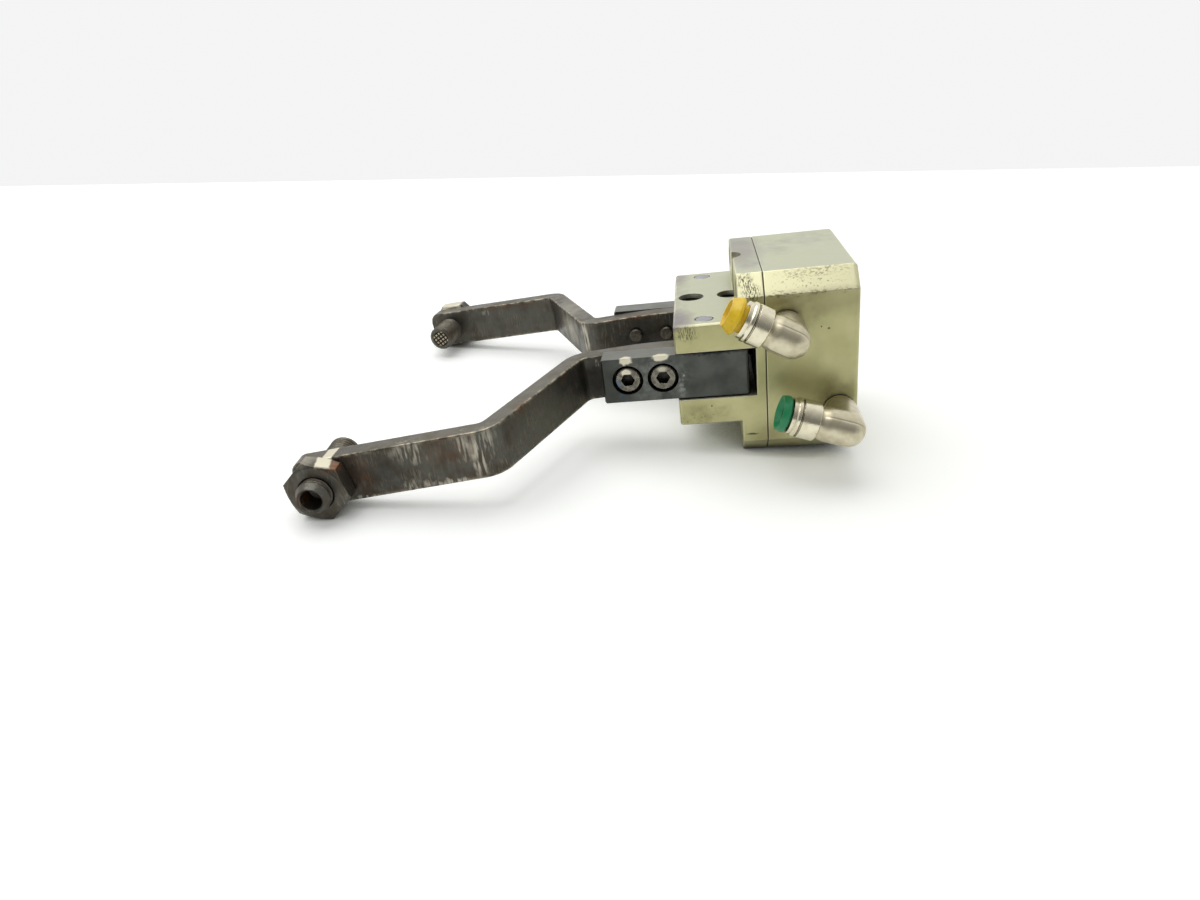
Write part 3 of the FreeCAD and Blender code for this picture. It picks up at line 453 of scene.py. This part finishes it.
finishes = {
    "anodised_aluminium": hardAnodisedAluminium(),
    "burnished_steel": burnishedSteel(),
    "blackened_steel": blackenedSteel(
        "blackened nut steel", flats=0.5,
        paint=[((-156.4, -73.8, 1.4), (2.1, 4.9, 2.4), 13), ((-160.4, 76, 1.6), (5, 4, 4), 0)],
        shade=[("chalk", 0.6, (-161.6, -75, 1.6), (4, 5, 3))],
        rust=[("orange", 0.8, (-152, -74, 0), (3.4, 5, 3.6)),
              ("orange", 0.7, (-152.8, -78.5, 0), (2.4, 2, 2))]),
    "screw_steel": screwSteel(),
    "nickel_plated_brass": nickelPlatedBrass("turned"),
    "yellow_plastic": mouldedPlastic("yellow"),
    "green_plastic": mouldedPlastic("green"),
    "black_rubber": blackRubber(),
    "bronze": plainMetal("sintered bronze", "#a9814e", "#8d683c", 0.5),
    "piston_aluminium": plainMetal("turned aluminium", "#c4c6c8", "#a9abae", 0.3, (1, 0.1, 0.1)),
    "machined_steel": plainMetal("machined steel", "#9a9b9c", "#7c7d7e", 0.4),
    "spring_steel": plainMetal("spring steel", "#76777a", "#56575a", 0.5),
    "ground_steel": plainMetal("ground steel", "#a7a6a8", "#8f8e91", 0.35, (0.2, 1, 1), (0.3, 0.42)),
}
castNickel = nickelPlatedBrass("cast")
for name, node in nodes.items():
    for slot in node.material_slots:
        slot.material = castNickel if name.endswith("_elbow") else finishes[slot.material.name]
print("materials:", len(finishes) + 1, "finishes on the CAD nodes")


def surfacePiece(name, grids, material, body, slot, wrap=(False, True), smooth=40, weld=0.001, **marks):
    # grids of points in mm become quads, closed round an axis where wrap says; poles and seams are welded
    mesh = bpy.data.meshes.new(name)
    quads = []
    first = 0
    for grid in grids:
        rows, columns = grid.shape[:2]
        i, j = np.meshgrid(np.arange(rows - (not wrap[0])), np.arange(columns - (not wrap[1])), indexing="ij")
        after = (i + 1) % rows
        beside = (j + 1) % columns
        corners = [i * columns + j, after * columns + j, after * columns + beside, i * columns + beside]
        quads.append(np.stack(corners, -1).reshape(-1, 4) + first)
        first += rows * columns
    points = np.concatenate([grid.reshape(-1, 3) for grid in grids]) * mm
    mesh.from_pydata(points.tolist(), [], np.concatenate(quads).tolist())
    for mark, values in marks.items():
        layer = mesh.attributes.new(mark, "FLOAT", "POINT")
        layer.data.foreach_set("value", np.concatenate([v.reshape(-1) for v in values]))
    shaped = bmesh.new()
    shaped.from_mesh(mesh)
    bmesh.ops.remove_doubles(shaped, verts=shaped.verts, dist=weld * mm)
    bmesh.ops.recalc_face_normals(shaped, faces=shaped.faces)
    shaped.to_mesh(mesh)
    shaped.free()
    mesh.shade_smooth()
    mesh.set_sharp_from_angle(angle=math.radians(smooth))
    mesh.materials.append(material)
    piece = addObject(name, mesh)
    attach(piece, body)
    return piece


def ringAngles(count):  # evenly spaced angles round a full turn, as one row
    return np.linspace(0, fullTurn, count, endpoint=False)[None]


def spokes(angle, first, second):  # unit directions round an axis, from two directions square to it
    return np.cos(angle)[..., None] * first + np.sin(angle)[..., None] * second


def zigzag(turns):  # 1 at whole turns, falling evenly to 0 half way between them
    return np.abs(2 * (turns % 1) - 1)


jawSides = {"near": -1, "far": 1}  # which way along Y each jaw lies
upright = np.array([0, 0, 1])
fingerShape = {
    "heelX": -56.4, "lineY": 18.35, "firstX": -88.7, "riseAngle": 66.2, "offset": 46.95, "tipAngle": 4.7,
    "tipLength": 59.0, "bendRadius": 5.8, "thickness": 6.5, "height": 15.0, "edge": 0.5, "tipRadius": 3.5,
    "droop": 4.4, "droopX": -66.1, "droopEase": 8.0, "clampedTo": -80.0, "clampFade": 5.0, "wearWidth": 0.8,
    "step": 0.5, "arcSteps": 5, "flatSteps": 14, "wander": 0.07, "waves": (1.7, 0.61, 3.3),
}


def fingerCorners():  # corner points of the far finger's centre line, seen from above
    f = fingerShape
    rise = math.radians(f["riseAngle"])
    lean = math.radians(f["tipAngle"])
    first = np.array([f["firstX"], f["lineY"]])
    second = first + [-f["offset"] / math.tan(rise), f["offset"]]
    tip = second + f["tipLength"] * np.array([-math.cos(lean), math.sin(lean)])
    return np.array([[f["heelX"], f["lineY"]], first, second, tip])


def drooped(points, side):
    # the clamped heel stays level; past it the line turns down evenly until it hangs at the full angle
    f = fingerShape
    full = math.radians(f["droop"])
    ease = f["droopEase"]
    x = points[..., 0] - f["droopX"]
    z = points[..., 2]
    turn = full * np.clip((ease - x) / (2 * ease), 0, 1)
    sag = np.where(x < -ease, x * math.sin(full), -full * np.clip(ease - x, 0, None) ** 2 / (4 * ease))
    along = np.where(x < 0, x * math.cos(full), x) - z * np.sin(turn)
    return np.stack([f["droopX"] + along, points[..., 1] * side, sag + z * np.cos(turn)], -1)


def bentLine(corners, radius, step):
    # heading is steady on each run and turns evenly through each bend; points are its running sum
    runs = np.diff(corners, axis=0)
    lengths = np.hypot(*runs.T)
    headings = np.unwrap(np.arctan2(runs[:, 1], runs[:, 0]))
    turns = np.abs(np.diff(headings))
    cuts = radius * np.tan(turns / 2)
    straight = lengths - np.append(cuts, 0) - np.append(0, cuts)
    spans = np.insert(straight, np.arange(1, len(straight)), radius * turns)
    knots = np.concatenate([[0], np.cumsum(spans)])
    station = np.linspace(0, knots[-1], int(knots[-1] / step) + 1)
    heading = np.interp(station, knots, np.repeat(headings, 2))
    pace = np.stack([np.cos(heading), np.sin(heading)], -1)
    moves = (pace[1:] + pace[:-1]) / 2 * np.diff(station)[:, None]
    line = corners[0] + np.concatenate([[[0, 0]], np.cumsum(moves, axis=0)])
    return station, line, pace


def roundedOutline(width, height, radius, arcSteps, flatSteps):
    # a rectangle with round corners: quarter arcs joined by flats whose points crowd towards the arcs
    quarter = np.linspace(0, math.pi / 2, arcSteps)
    ease = (1 - np.cos(np.linspace(0, math.pi, flatSteps))) / 2
    inner = np.array([width / 2 - radius, height / 2 - radius])
    signs = ((1, 1), (-1, 1), (-1, -1), (1, -1))
    points = []
    for k, sign in enumerate(signs):
        angle = quarter + k * math.pi / 2
        arc = inner * sign + radius * np.stack([np.cos(angle), np.sin(angle)], -1)
        start = arc[-1]
        end = inner * signs[(k + 1) % 4] + radius * np.array([np.cos(angle[-1]), np.sin(angle[-1])])
        flat = start + (end - start) * ease[1:-1, None]
        points.append(np.concatenate([arc, flat]))
    return np.concatenate(points)


def bentFinger(word, side):
    # a rounded bar section carried along the bent line; its ends close on their middles
    f = fingerShape
    station, line, pace = bentLine(fingerCorners(), f["bendRadius"], f["step"])
    section = roundedOutline(f["thickness"], f["height"], f["edge"], f["arcSteps"], f["flatSteps"])
    across = np.stack([-pace[:, 1], pace[:, 0]], -1)
    swing = sum(np.sin(station * rate + phase) for rate, phase in zip(f["waves"], (side, 2, 0)))
    swell = 1 - f["wander"] / f["thickness"] * np.abs(swing) / len(f["waves"])
    a = section[None, :, 0] * swell[:, None]
    fromTip = np.clip(f["tipRadius"] - (station[-1] - station), 0, f["tipRadius"])
    drop = f["tipRadius"] - np.sqrt(f["tipRadius"] ** 2 - fromTip ** 2)
    b = np.sign(section[None, :, 1]) * np.clip(np.abs(section[None, :, 1]) - drop[:, None], 0, None)
    flat = line[:, None, :] + across[:, None, :] * a[..., None]
    body = np.concatenate([flat, b[..., None]], -1)
    heel, tip = (np.repeat(row.mean(1, keepdims=True), len(section), 1) for row in (body[:1], body[-1:]))
    grid = np.concatenate([heel, body, tip])
    corner = np.array([f["thickness"] / 2, f["height"] / 2])
    nearEdge = np.hypot(*(corner - np.abs(section)).T)
    bare = (section[None, :, 0] > 0) & (side > 0)    # the far finger's inner edge is open to view and to knocks
    clear = np.where(bare, 1, np.clip((f["clampedTo"] - grid[..., 0]) / f["clampFade"], 0, 1))
    edge = np.clip(1 - nearEdge / f["wearWidth"], 0, 1)[None] * clear
    piece = surfacePiece("bent_finger_" + word, [drooped(grid, side)], fingerSteel, word + "_jaw",
                         "blackened_steel", edge=[edge])
    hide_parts("finger_" + word)


fingerSteel = blackenedSteel(
    "blackened bar steel", worn="edge", flats=0.85,
    chalk=[
        (0.95, (-112.3, -69, -4), (3.0, 8, 9)), (0.7, (-116.5, -69, 0), (2.6, 6, 6)),   # scraped second bend
        (0.6, (-109.5, -67, 0), (3.0, 6, 6)),
        (0.7, (-132, -70, -0.5), (7, 6, 4.5)),                                          # pale tip run
        (0.95, (-132.5, -70, -11.2), (5.5, 6, 2.4)), (0.9, (-121, -69, -11.4), (9, 6, 1.6)),
        (0.7, (-146, -72, -13.4), (9, 4, 1.0)),                                         # chipped lower edge
        (0.9, (-91.3, 18, 0), (2.6, 4, 9)), (0.6, (-100.3, 36, 0), (2.4, 6, 6)),        # far finger's first bend
        (0.9, (-82.3, -21.6, 4), (1.0, 2, 1.6)), (0.7, (-142, 64.6, -1), (3, 2, 1.5)),  # single scrapes
    ],
    rust=[
        ("rust", 0.4, (-148, -72, -5), (6, 3, 8)), ("rust", 0.35, (-120, -70, 0), (10, 3, 7)),  # near tip run
        ("rust", 0.7, (-101.5, -54, 4), (3, 6, 2)), ("rust", 0.7, (-92, -33, 4), (2, 4, 2)),    # near rise
        ("rust", 0.8, (-74, 15.4, 7.0), (16, 1.6, 1.3)),                                        # far finger
        ("rust", 0.5, (-130, 64, 1.5), (22, 3, 1.6)),
    ],
    shade=[
        # dark: painted shade beside the jaw and on the far finger's inner clamp face, darker on the near tip
        # run; the grey and chalk patches: painted light on the faces of the two rises; steel evens the far run
        ("dark", 0.45, (-142, -72, -6), (16, 4, 12)), ("dark", 0.85, (-83, -21.6, -2.5), (8, 4, 13)),
        ("grey", 0.55, (-99, -44, -4), (13, 20, 12)), ("steel", 0.65, (-134, 64, -4), (34, 6, 12)),
        ("dark", 0.8, (-70, 14.6, -1.5), (20, 2.4, 9.5)), ("chalk", 0.6, (-99, 40, -1), (9, 22, 10)),
        ("dark", 0.3, (-154, -69, 1), (14, 6, 2)),
    ],
    paint=[((-156.6, -68.6, 0.6), (1.8, 5.4, 2), 0)])
for word, side in jawSides.items():
    bentFinger(word, side)
print("fingers: two bent bars")

boltShape = {
    "inset": 8.2, "radius": 5.0, "length": 32.0, "reach": {"near": 14.5, "far": 13.0}, "chamfer": 0.8,
    "taper": 2.2, "taperStart": (0.03, 0.015), "land": 0.2, "bore": 3.1, "boreDepth": 7.0, "drillPoint": 0.6,
    "lead": 0.6, "pitch": 1.25, "threadDepth": 0.5, "serration": 1.5, "serrated": 0.8, "serrationDepth": 0.45,
    "serrationTurn": 25.0, "serrationFade": 0.25, "cutFrom": 0.5, "cutRamp": 0.3, "crestWear": 0.18,
    "boreGrime": 0.05, "around": 132, "perPitch": 8, "noseRings": 40,
}


def boltFrame():  # where the far bolt crosses the finger, and the directions out of the finger and along it
    corners = fingerCorners()
    along = (corners[3] - corners[2]) / np.linalg.norm(corners[3] - corners[2])
    place = np.append(corners[3] - along * boltShape["inset"], 0)
    return place, np.array([along[1], -along[0], 0]), np.append(along, 0)


def gripBolt(word, side):
    # a profile turned about the bolt's axis, with a helical groove on the shank and a serrated nose
    b = boltShape
    place, outward, inPlane = boltFrame()
    nose = -fingerShape["thickness"] / 2 - b["reach"][word]
    end = nose + b["length"]
    bottom = end - b["boreDepth"]
    rim = b["radius"] - b["chamfer"]
    mouth = b["bore"] + b["lead"]
    rings = b["noseRings"]
    turns = int((b["length"] - b["chamfer"] - b["taper"]) / b["pitch"] * b["perPitch"])
    shank = np.linspace(nose + b["chamfer"], end - b["taper"], turns)
    outside = [[shank[-1] + b["taperStart"][0], b["radius"] - b["taperStart"][1]], [end, mouth + b["land"]],
               [end, mouth]]
    inside = [[end - b["lead"], b["bore"]], [bottom, b["bore"]], [bottom - b["bore"] * b["drillPoint"], 0]]
    tail = np.array(outside + inside)
    s = np.concatenate([np.full(rings, nose), shank, tail[:, 0]])[:, None]
    r = np.concatenate([np.linspace(0, rim, rings), np.full(turns, b["radius"]), tail[:, 1]])[:, None]
    row = np.arange(len(s))[:, None]
    onNose = row < rings
    onShank = (row >= rings) & (row < rings + turns)
    angle = ringAngles(b["around"])
    inBore = (row >= rings + turns + len(outside)) + 0 * angle
    groove = zigzag(s / b["pitch"] - angle / fullTurn)
    fade = np.clip(np.minimum(s - shank[0], shank[-1] - s) / b["pitch"], 0, 1)
    radius = r - b["threadDepth"] * groove * fade * onShank
    turned = angle + math.radians(b["serrationTurn"])
    cells = [zigzag(r * wave(turned) / b["serration"]) for wave in (np.cos, np.sin)]
    within = np.clip((b["serrated"] * rim - r) / b["serrationFade"], 0, 1)
    cut = np.clip((np.maximum(*cells) - b["cutFrom"]) / b["cutRamp"], 0, 1) * within
    depth = s + b["serrationDepth"] * cut * onNose
    grid = place + depth[..., None] * outward + radius[..., None] * spokes(angle, inPlane, upright)
    crest = (within - cut) * onNose + b["crestWear"] * (1 - groove) ** 2 * onShank
    # painted shade in the thread's groove, the serration cuts and the bore, where grime also sits
    hollow = np.maximum(b["boreGrime"] * inBore, np.maximum(cut * onNose, groove ** 2 * onShank * fade))
    piece = surfacePiece("threaded_bolt_" + word, [drooped(grid, side)], boltSteel, word + "_jaw",
                         "blackened_steel", smooth=35, crest=[crest], hollow=[hollow])
    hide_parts("grip_bolt_" + word)


boltSteel = blackenedSteel(
    "blackened bolt steel", worn="crest", dark="hollow", broken=(0.2, 0.45),
    rust=[("orange", 0.95, (-162.4, -80.5, -6.5), (2.6, 4, 4.5))])  # inside the near bolt's hollow

nutShape = {
    "width": 17.0, "height": 6.5, "seat": 3.25, "face": 8.0, "bevel": 32.0, "bore": 5.02, "sink": 0.35,
    "turn": {"near": 22.0, "far": 0.0}, "perSide": 18, "rows": 26,
}


def hexNut(word, side):
    # radius about the bolt's axis is the least of a hexagon and of two cones that bevel its faces
    n = nutShape
    place, outward, inPlane = boltFrame()
    depth = n["height"] * (1 - np.cos(np.linspace(0, math.pi, n["rows"]))) / 2
    angle = ringAngles(6 * n["perSide"])
    sector = angle % math.radians(60) - math.radians(30)
    cone = n["face"] + np.minimum(depth, depth[::-1]) / math.tan(math.radians(n["bevel"]))
    outside = np.minimum(n["width"] / 2 / np.cos(sector), cone[:, None])
    hole = np.array([[n["sink"], n["bore"]], [0, n["bore"] + n["sink"]], [n["height"], n["bore"] + n["sink"]],
                     [n["height"] - n["sink"], n["bore"]]])
    rings = [np.full_like(angle, r) for r in hole[:, 1]]
    radius = np.concatenate(rings[:2] + [outside] + rings[2:])
    s = n["seat"] + np.concatenate([hole[:2, 0], depth, hole[2:, 0]])
    around = spokes(angle + math.radians(n["turn"][word]), inPlane, upright)
    grid = place + s[:, None, None] * outward + radius[..., None] * around
    piece = surfacePiece("hex_nut_" + word, [drooped(grid, side)], finishes["blackened_steel"], word + "_jaw",
                         "blackened_steel", wrap=(True, True), smooth=20)
    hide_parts("lock_nut_" + word)


for word, side in jawSides.items():
    gripBolt(word, side)
    hexNut(word, side)
print("bolts: two threaded bolts with serrated noses, each with a bevelled nut")

elbowShape = {
    "port": {"upper": (-21.8, -30.0, 14.5), "lower": (-5.9, -30.0, -14.5)},
    "turn": {"upper": 29.5, "lower": 19.5}, "height": {"upper": 13.8, "lower": 15.0},
    "reach": {"upper": 7.9, "lower": 9.4}, "radius": 5.4, "panel": 0.25, "panelAngle": 42.0, "panelFade": 6.0,
    "creaseWidth": 4.0, "neck": 4.75, "neckLength": 3.2, "noseLength": 5.0, "noseBore": 4.3, "stopBore": 3.3,
    "stopDepth": 1.0, "sealHalf": 1.1, "airBore": 2.0, "barrel": 5.4, "socket": 3.3, "foot": 3.15,
    "footBevel": 0.2, "runFrom": 0.2, "around": 144, "ballRows": 24, "runRows": 32,
}


def castElbow(word):
    # a ball-ended profile turned about the tube, with a raised panel outside, and a ring over the stem
    e = elbowShape
    turn = math.radians(e["turn"][word])
    port = np.array(e["port"][word])
    tube = np.array([-math.cos(turn), 0, math.sin(turn)])
    stem = np.array([0.0, -1.0, 0.0])
    across = np.cross(stem, tube)
    height = e["height"][word]
    reach = e["reach"][word]
    radius = e["radius"]
    angle = ringAngles(e["around"])
    bow = np.linspace(-math.pi / 2, 0, e["ballRows"])
    run = np.linspace(e["runFrom"], reach, e["runRows"])
    neck = (1 + np.cos(math.pi * np.clip((reach - run) / e["neckLength"], 0, 1))) / 2
    tip = reach + e["noseLength"]
    seal = reach - e["sealHalf"]
    stop = seal - e["stopDepth"]
    inside = np.array([[tip, e["neck"]], [tip, e["noseBore"]], [seal, e["noseBore"]], [seal, e["stopBore"]],
                       [stop, e["stopBore"]], [stop, e["airBore"]], [0, e["airBore"]], [0, 0]])
    s = np.concatenate([radius * np.sin(bow), run, inside[:, 0]])[:, None]
    r = np.concatenate([radius * np.cos(bow), radius + (e["neck"] - radius) * neck, inside[:, 1]])[:, None]
    share = np.concatenate([np.cos(bow), 1 - neck, np.zeros(len(inside))])[:, None]
    off = np.degrees(np.abs((angle + math.pi) % fullTurn - math.pi)) - e["panelAngle"]
    raised = np.clip(1 - off / e["panelFade"], 0, 1)
    thick = r + e["panel"] * raised * share
    body = port + stem * height + s[..., None] * tube + thick[..., None] * spokes(angle, stem, across)
    foot = e["foot"]
    bevel = e["footBevel"]
    rim = np.array([[foot, e["socket"]], [foot, e["barrel"] - bevel], [foot + bevel, e["barrel"]],
                    [height, e["barrel"]], [height, e["socket"]], [foot, e["socket"]]])
    sleeve = port + rim[:, :1, None] * stem + rim[:, 1:, None] * spokes(angle, tube, across)
    # painted shade along the foot of the raised panel
    crease = np.clip(1 - np.abs(off - e["panelFade"]) / e["creaseWidth"], 0, 1) * share ** 2
    piece = surfacePiece("cast_elbow_" + word, [body, sleeve], castNickel, word + "_elbow",
                         "nickel_plated_brass", smooth=28, crease=[crease, 0 * sleeve[..., 0]])
    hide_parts(word + "_elbow")


for word in ("upper", "lower"):
    castElbow(word)
print("elbows: two cast bodies")

threadShape = {
    "sideX": (-50.3, -37.3), "sideRadius": 3.4, "sideTop": 16.1, "sideFoot": 8.0, "sidePitch": 1.25,
    "rearAt": 22.0, "rearRadius": 2.5, "rearDepth": 11.5, "rearPitch": 1.0, "crest": 0.35, "skin": 0.02,
    "around": 48, "perPitch": 8,
}


def threadSleeve(mouth, axis, radius, depth, pitch):
    # a thin tube in a hole: plain outside, its inner radius a helical ridge
    t = threadShape
    s = np.linspace(0, depth, int(depth / pitch * t["perPitch"]))[:, None]
    angle = ringAngles(t["around"])
    ridge = 1 - zigzag(s / pitch - angle / fullTurn)
    fade = np.clip(np.minimum(s, depth - s) / pitch, 0, 1)
    inner = radius - 2 * t["skin"] - t["crest"] * ridge * fade
    outer = np.full_like(inner, radius - t["skin"])
    both = np.concatenate([inner, outer[::-1]])
    run = np.concatenate([s, s[::-1]])
    axis = np.array(axis, float)
    first = np.roll(np.abs(axis), 1)
    around = spokes(angle, first, np.cross(axis, first))
    return np.array(mouth, float) + run[..., None] * axis + both[..., None] * around


def threadSleeves():
    # two cross holes in the tower, from above and below, and four mounting holes in the rear face
    t = threadShape
    sides = [threadSleeve((x, 0, up * t["sideTop"]), (0, 0, -up), t["sideRadius"], t["sideTop"] - t["sideFoot"],
                          t["sidePitch"]) for x in t["sideX"] for up in (-1, 1)]
    rears = [threadSleeve((0, y * t["rearAt"], z * t["rearAt"]), (-1, 0, 0), t["rearRadius"], t["rearDepth"],
                          t["rearPitch"]) for y in (-1, 1) for z in (-1, 1)]
    for name, sleeves in (("side_hole_threads", sides), ("rear_hole_threads", rears)):
        surfacePiece(name, sleeves, finishes["anodised_aluminium"], "housing", "anodised_aluminium",
                     wrap=(True, True))


threadSleeves()
print("threads: sleeves in the side and rear holes")

springShape = {"wireWidth": 2.8, "wireHeight": 1.5, "turns": 4.0, "perTurn": 48}


def coilSpring():
    # a rectangle carried along a helix x = pitch * angle / 2 pi
    s = springShape
    low, high = (np.array(corner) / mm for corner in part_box("closing_spring"))
    angle = np.linspace(0, fullTurn * s["turns"], int(s["turns"] * s["perTurn"]) + 1)[:, None]
    middle = np.linspace(low[0] + s["wireHeight"] / 2, high[0] - s["wireHeight"] / 2, len(angle))[:, None]
    corner = np.array([[-1, -1], [1, -1], [1, 1], [-1, 1]])[None] / 2
    radius = high[1] + (corner[..., 0] - 0.5) * s["wireWidth"]
    x = middle + corner[..., 1] * s["wireHeight"]
    wire = np.stack([x, radius * np.sin(angle), -radius * np.cos(angle)], -1)
    ends = np.repeat(wire[[0, -1]].mean(1, keepdims=True), corner.shape[1], 1)
    piece = surfacePiece("coil_spring", [np.concatenate([ends[:1], wire, ends[1:]])], finishes["spring_steel"],
                         "housing", "spring_steel")
    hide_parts("closing_spring")
    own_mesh(piece)


coilSpring()

floorShape = {
    "pivotX": -36.0, "size": 6.0, "farEdge": (0.605, 0.113), "colour": "#f6f7f5", "roughness": 0.6,
    "specular": 0.2, "glowColour": "#fdfffb", "glow": (0.23, 0.55), "glowFrom": (0.3, 1.4),
    "contact": "#8b8c7c", "contactReach": (24, 0.32, 0.14), "contactStrength": 0.75,
}


def restingFloor():
    # plane under the flange's front edge, tilted up until the lowest fastener on the fingers touches it;
    # paper white with an even glow of its own, and a painted contact shadow where the gripper touches it
    f = floorShape
    pivot = Vector((f["pivotX"] * mm, 0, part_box("jaw_housing")[0].z))
    points = np.concatenate([np.array([v.co for v in nodes[n].data.vertices]) for n in
                             ("lock_nut_near", "lock_nut_far", "finger_near", "finger_far")])
    slope = np.min((points[:, 2] - pivot.z) / (pivot.x - points[:, 0]))
    run = np.array([-f["size"], f["size"]]) / 2
    x, y = np.meshgrid(run + pivot.x, run, indexing="ij")
    y = np.where(y > 0, f["farEdge"][0] + f["farEdge"][1] * x, y)
    corners = np.stack([x, y, pivot.z + slope * (pivot.x - x)], -1).reshape(-1, 3)
    mesh = bpy.data.meshes.new("floor")
    mesh.from_pydata(corners.tolist(), [], [(0, 2, 3, 1)])
    material, tree, shader, where = newMaterial("floor paper", Roughness=f["roughness"],
                                                Specular_IOR_Level=f["specular"],
                                                Emission_Color=linear(f["glowColour"]))
    # painted contact shadow: the floor greyed and its glow taken away where the gripper touches it
    touching = crevice(tree, *f["contactReach"])
    colour = stain(tree, linear(f["colour"]), f["contact"], f["contactStrength"], touching)
    tree.links.new(colour, shader.inputs["Base Color"])
    away = addNode(tree, "VectorMath", {0: where}, out="Value", operation="LENGTH")
    glow = addNode(tree, "MapRange", {"Value": away, "From Min": f["glowFrom"][0], "From Max": f["glowFrom"][1],
                                      "To Min": f["glow"][0], "To Max": f["glow"][1]})
    clearOf = addNode(tree, "Math", {0: 1.0, 1: touching}, operation="SUBTRACT")
    glow = addNode(tree, "Math", {0: glow, 1: clearOf}, operation="MULTIPLY")
    ray = addNode(tree, "LightPath", out=None).outputs
    mirrored = addNode(tree, "Math", {0: ray["Is Glossy Ray"], 1: ray["Is Transmission Ray"]},
                       operation="MAXIMUM")
    seen = addNode(tree, "Math", {0: ray["Is Camera Ray"], 1: mirrored}, operation="MAXIMUM")
    shown = addNode(tree, "Math", {0: glow, 1: seen}, operation="MULTIPLY")
    tree.links.new(shown, shader.inputs["Emission Strength"])
    mesh.materials.append(material)
    floor = addObject("floor", mesh)
    print("floor: tilt", round(math.degrees(math.atan(slope)), 2), "degrees")


restingFloor()

lightShape = {
    "skyColour": "#ffffff", "skyDepth": (-0.8, 0.4), "sky": (0.4, 0.55), "mirrorDepth": (-0.9, 0.2),
    "mirror": (0.2, 1.0), "backdrop": 0.91, "boxSize": 0.9, "boxPower": 5.5, "boxPlace": (-0.25, 0.1, 0.85),
    "boxAim": (-0.06, 0.0, 0.0),
}


def studioLight():
    # a pale sky that brightens towards +Y, more so in mirrored rays, and one soft box overhead
    s = lightShape
    world = bpy.data.worlds.new("studio")
    bpy.context.scene.world = world
    world.use_nodes = True
    tree = world.node_tree
    background = tree.nodes["Background"]
    background.inputs["Color"].default_value = linear(s["skyColour"])
    ray = addNode(tree, "LightPath", out=None).outputs
    direction = addNode(tree, "TexCoord", out="Generated")
    depth = addNode(tree, "SeparateXYZ", {0: direction}, out="Y")
    sky, mirror = (addNode(tree, "MapRange", {"Value": depth, "From Min": s[k + "Depth"][0],
                                              "From Max": s[k + "Depth"][1], "To Min": s[k][0],
                                              "To Max": s[k][1]}) for k in ("sky", "mirror"))
    level = addNode(tree, "Mix", {0: ray["Is Glossy Ray"], 2: sky, 3: mirror})
    shown = addNode(tree, "Math", {0: ray["Is Camera Ray"], 1: ray["Is Transmission Ray"]}, operation="MAXIMUM")
    level = addNode(tree, "Mix", {0: shown, 2: level, 3: s["backdrop"]})
    tree.links.new(level, background.inputs["Strength"])
    lamp = bpy.data.lights.new("softbox", "AREA")
    lamp.shape = "SQUARE"
    lamp.size = s["boxSize"]
    lamp.energy = s["boxPower"]
    holder = addObject("softbox", lamp)
    holder.location = s["boxPlace"]
    aim = Vector(s["boxAim"]) - Vector(s["boxPlace"])
    holder.rotation_mode = "QUATERNION"
    holder.rotation_quaternion = aim.to_track_quat("-Z", "Y")


studioLight()
print("light: one soft box under a pale sky")

cameraShape = {
    "focalPixels": 767.81, "imageWidth": 1200, "sensor": 36.0, "clipStart": 0.01,
    "place": (-45.43, -258.25, 93.29), "yaw": -9.542, "pitch": 26.887, "roll": -7.904,
}


def photoCamera():
    # at the photo's viewing angle: its place in mm and its turns in degrees
    c = cameraShape
    yaw, pitch, roll = (math.radians(c[k]) for k in ("yaw", "pitch", "roll"))
    forward = Vector((math.sin(yaw) * math.cos(pitch), math.cos(yaw) * math.cos(pitch), -math.sin(pitch)))
    lens = bpy.data.cameras.new("camera")
    lens.sensor_width = c["sensor"]
    lens.lens = c["focalPixels"] / c["imageWidth"] * c["sensor"]
    lens.clip_start = c["clipStart"]
    camera = addObject("camera", lens)
    camera.location = Vector(c["place"]) * mm
    camera.rotation_mode = "QUATERNION"
    camera.rotation_quaternion = forward.to_track_quat("-Z", "Y") @ Quaternion((0, 0, 1), roll)
    bpy.context.scene.camera = camera


photoCamera()
bpy.context.scene.view_settings.view_transform = "Standard"
print("camera: placed")
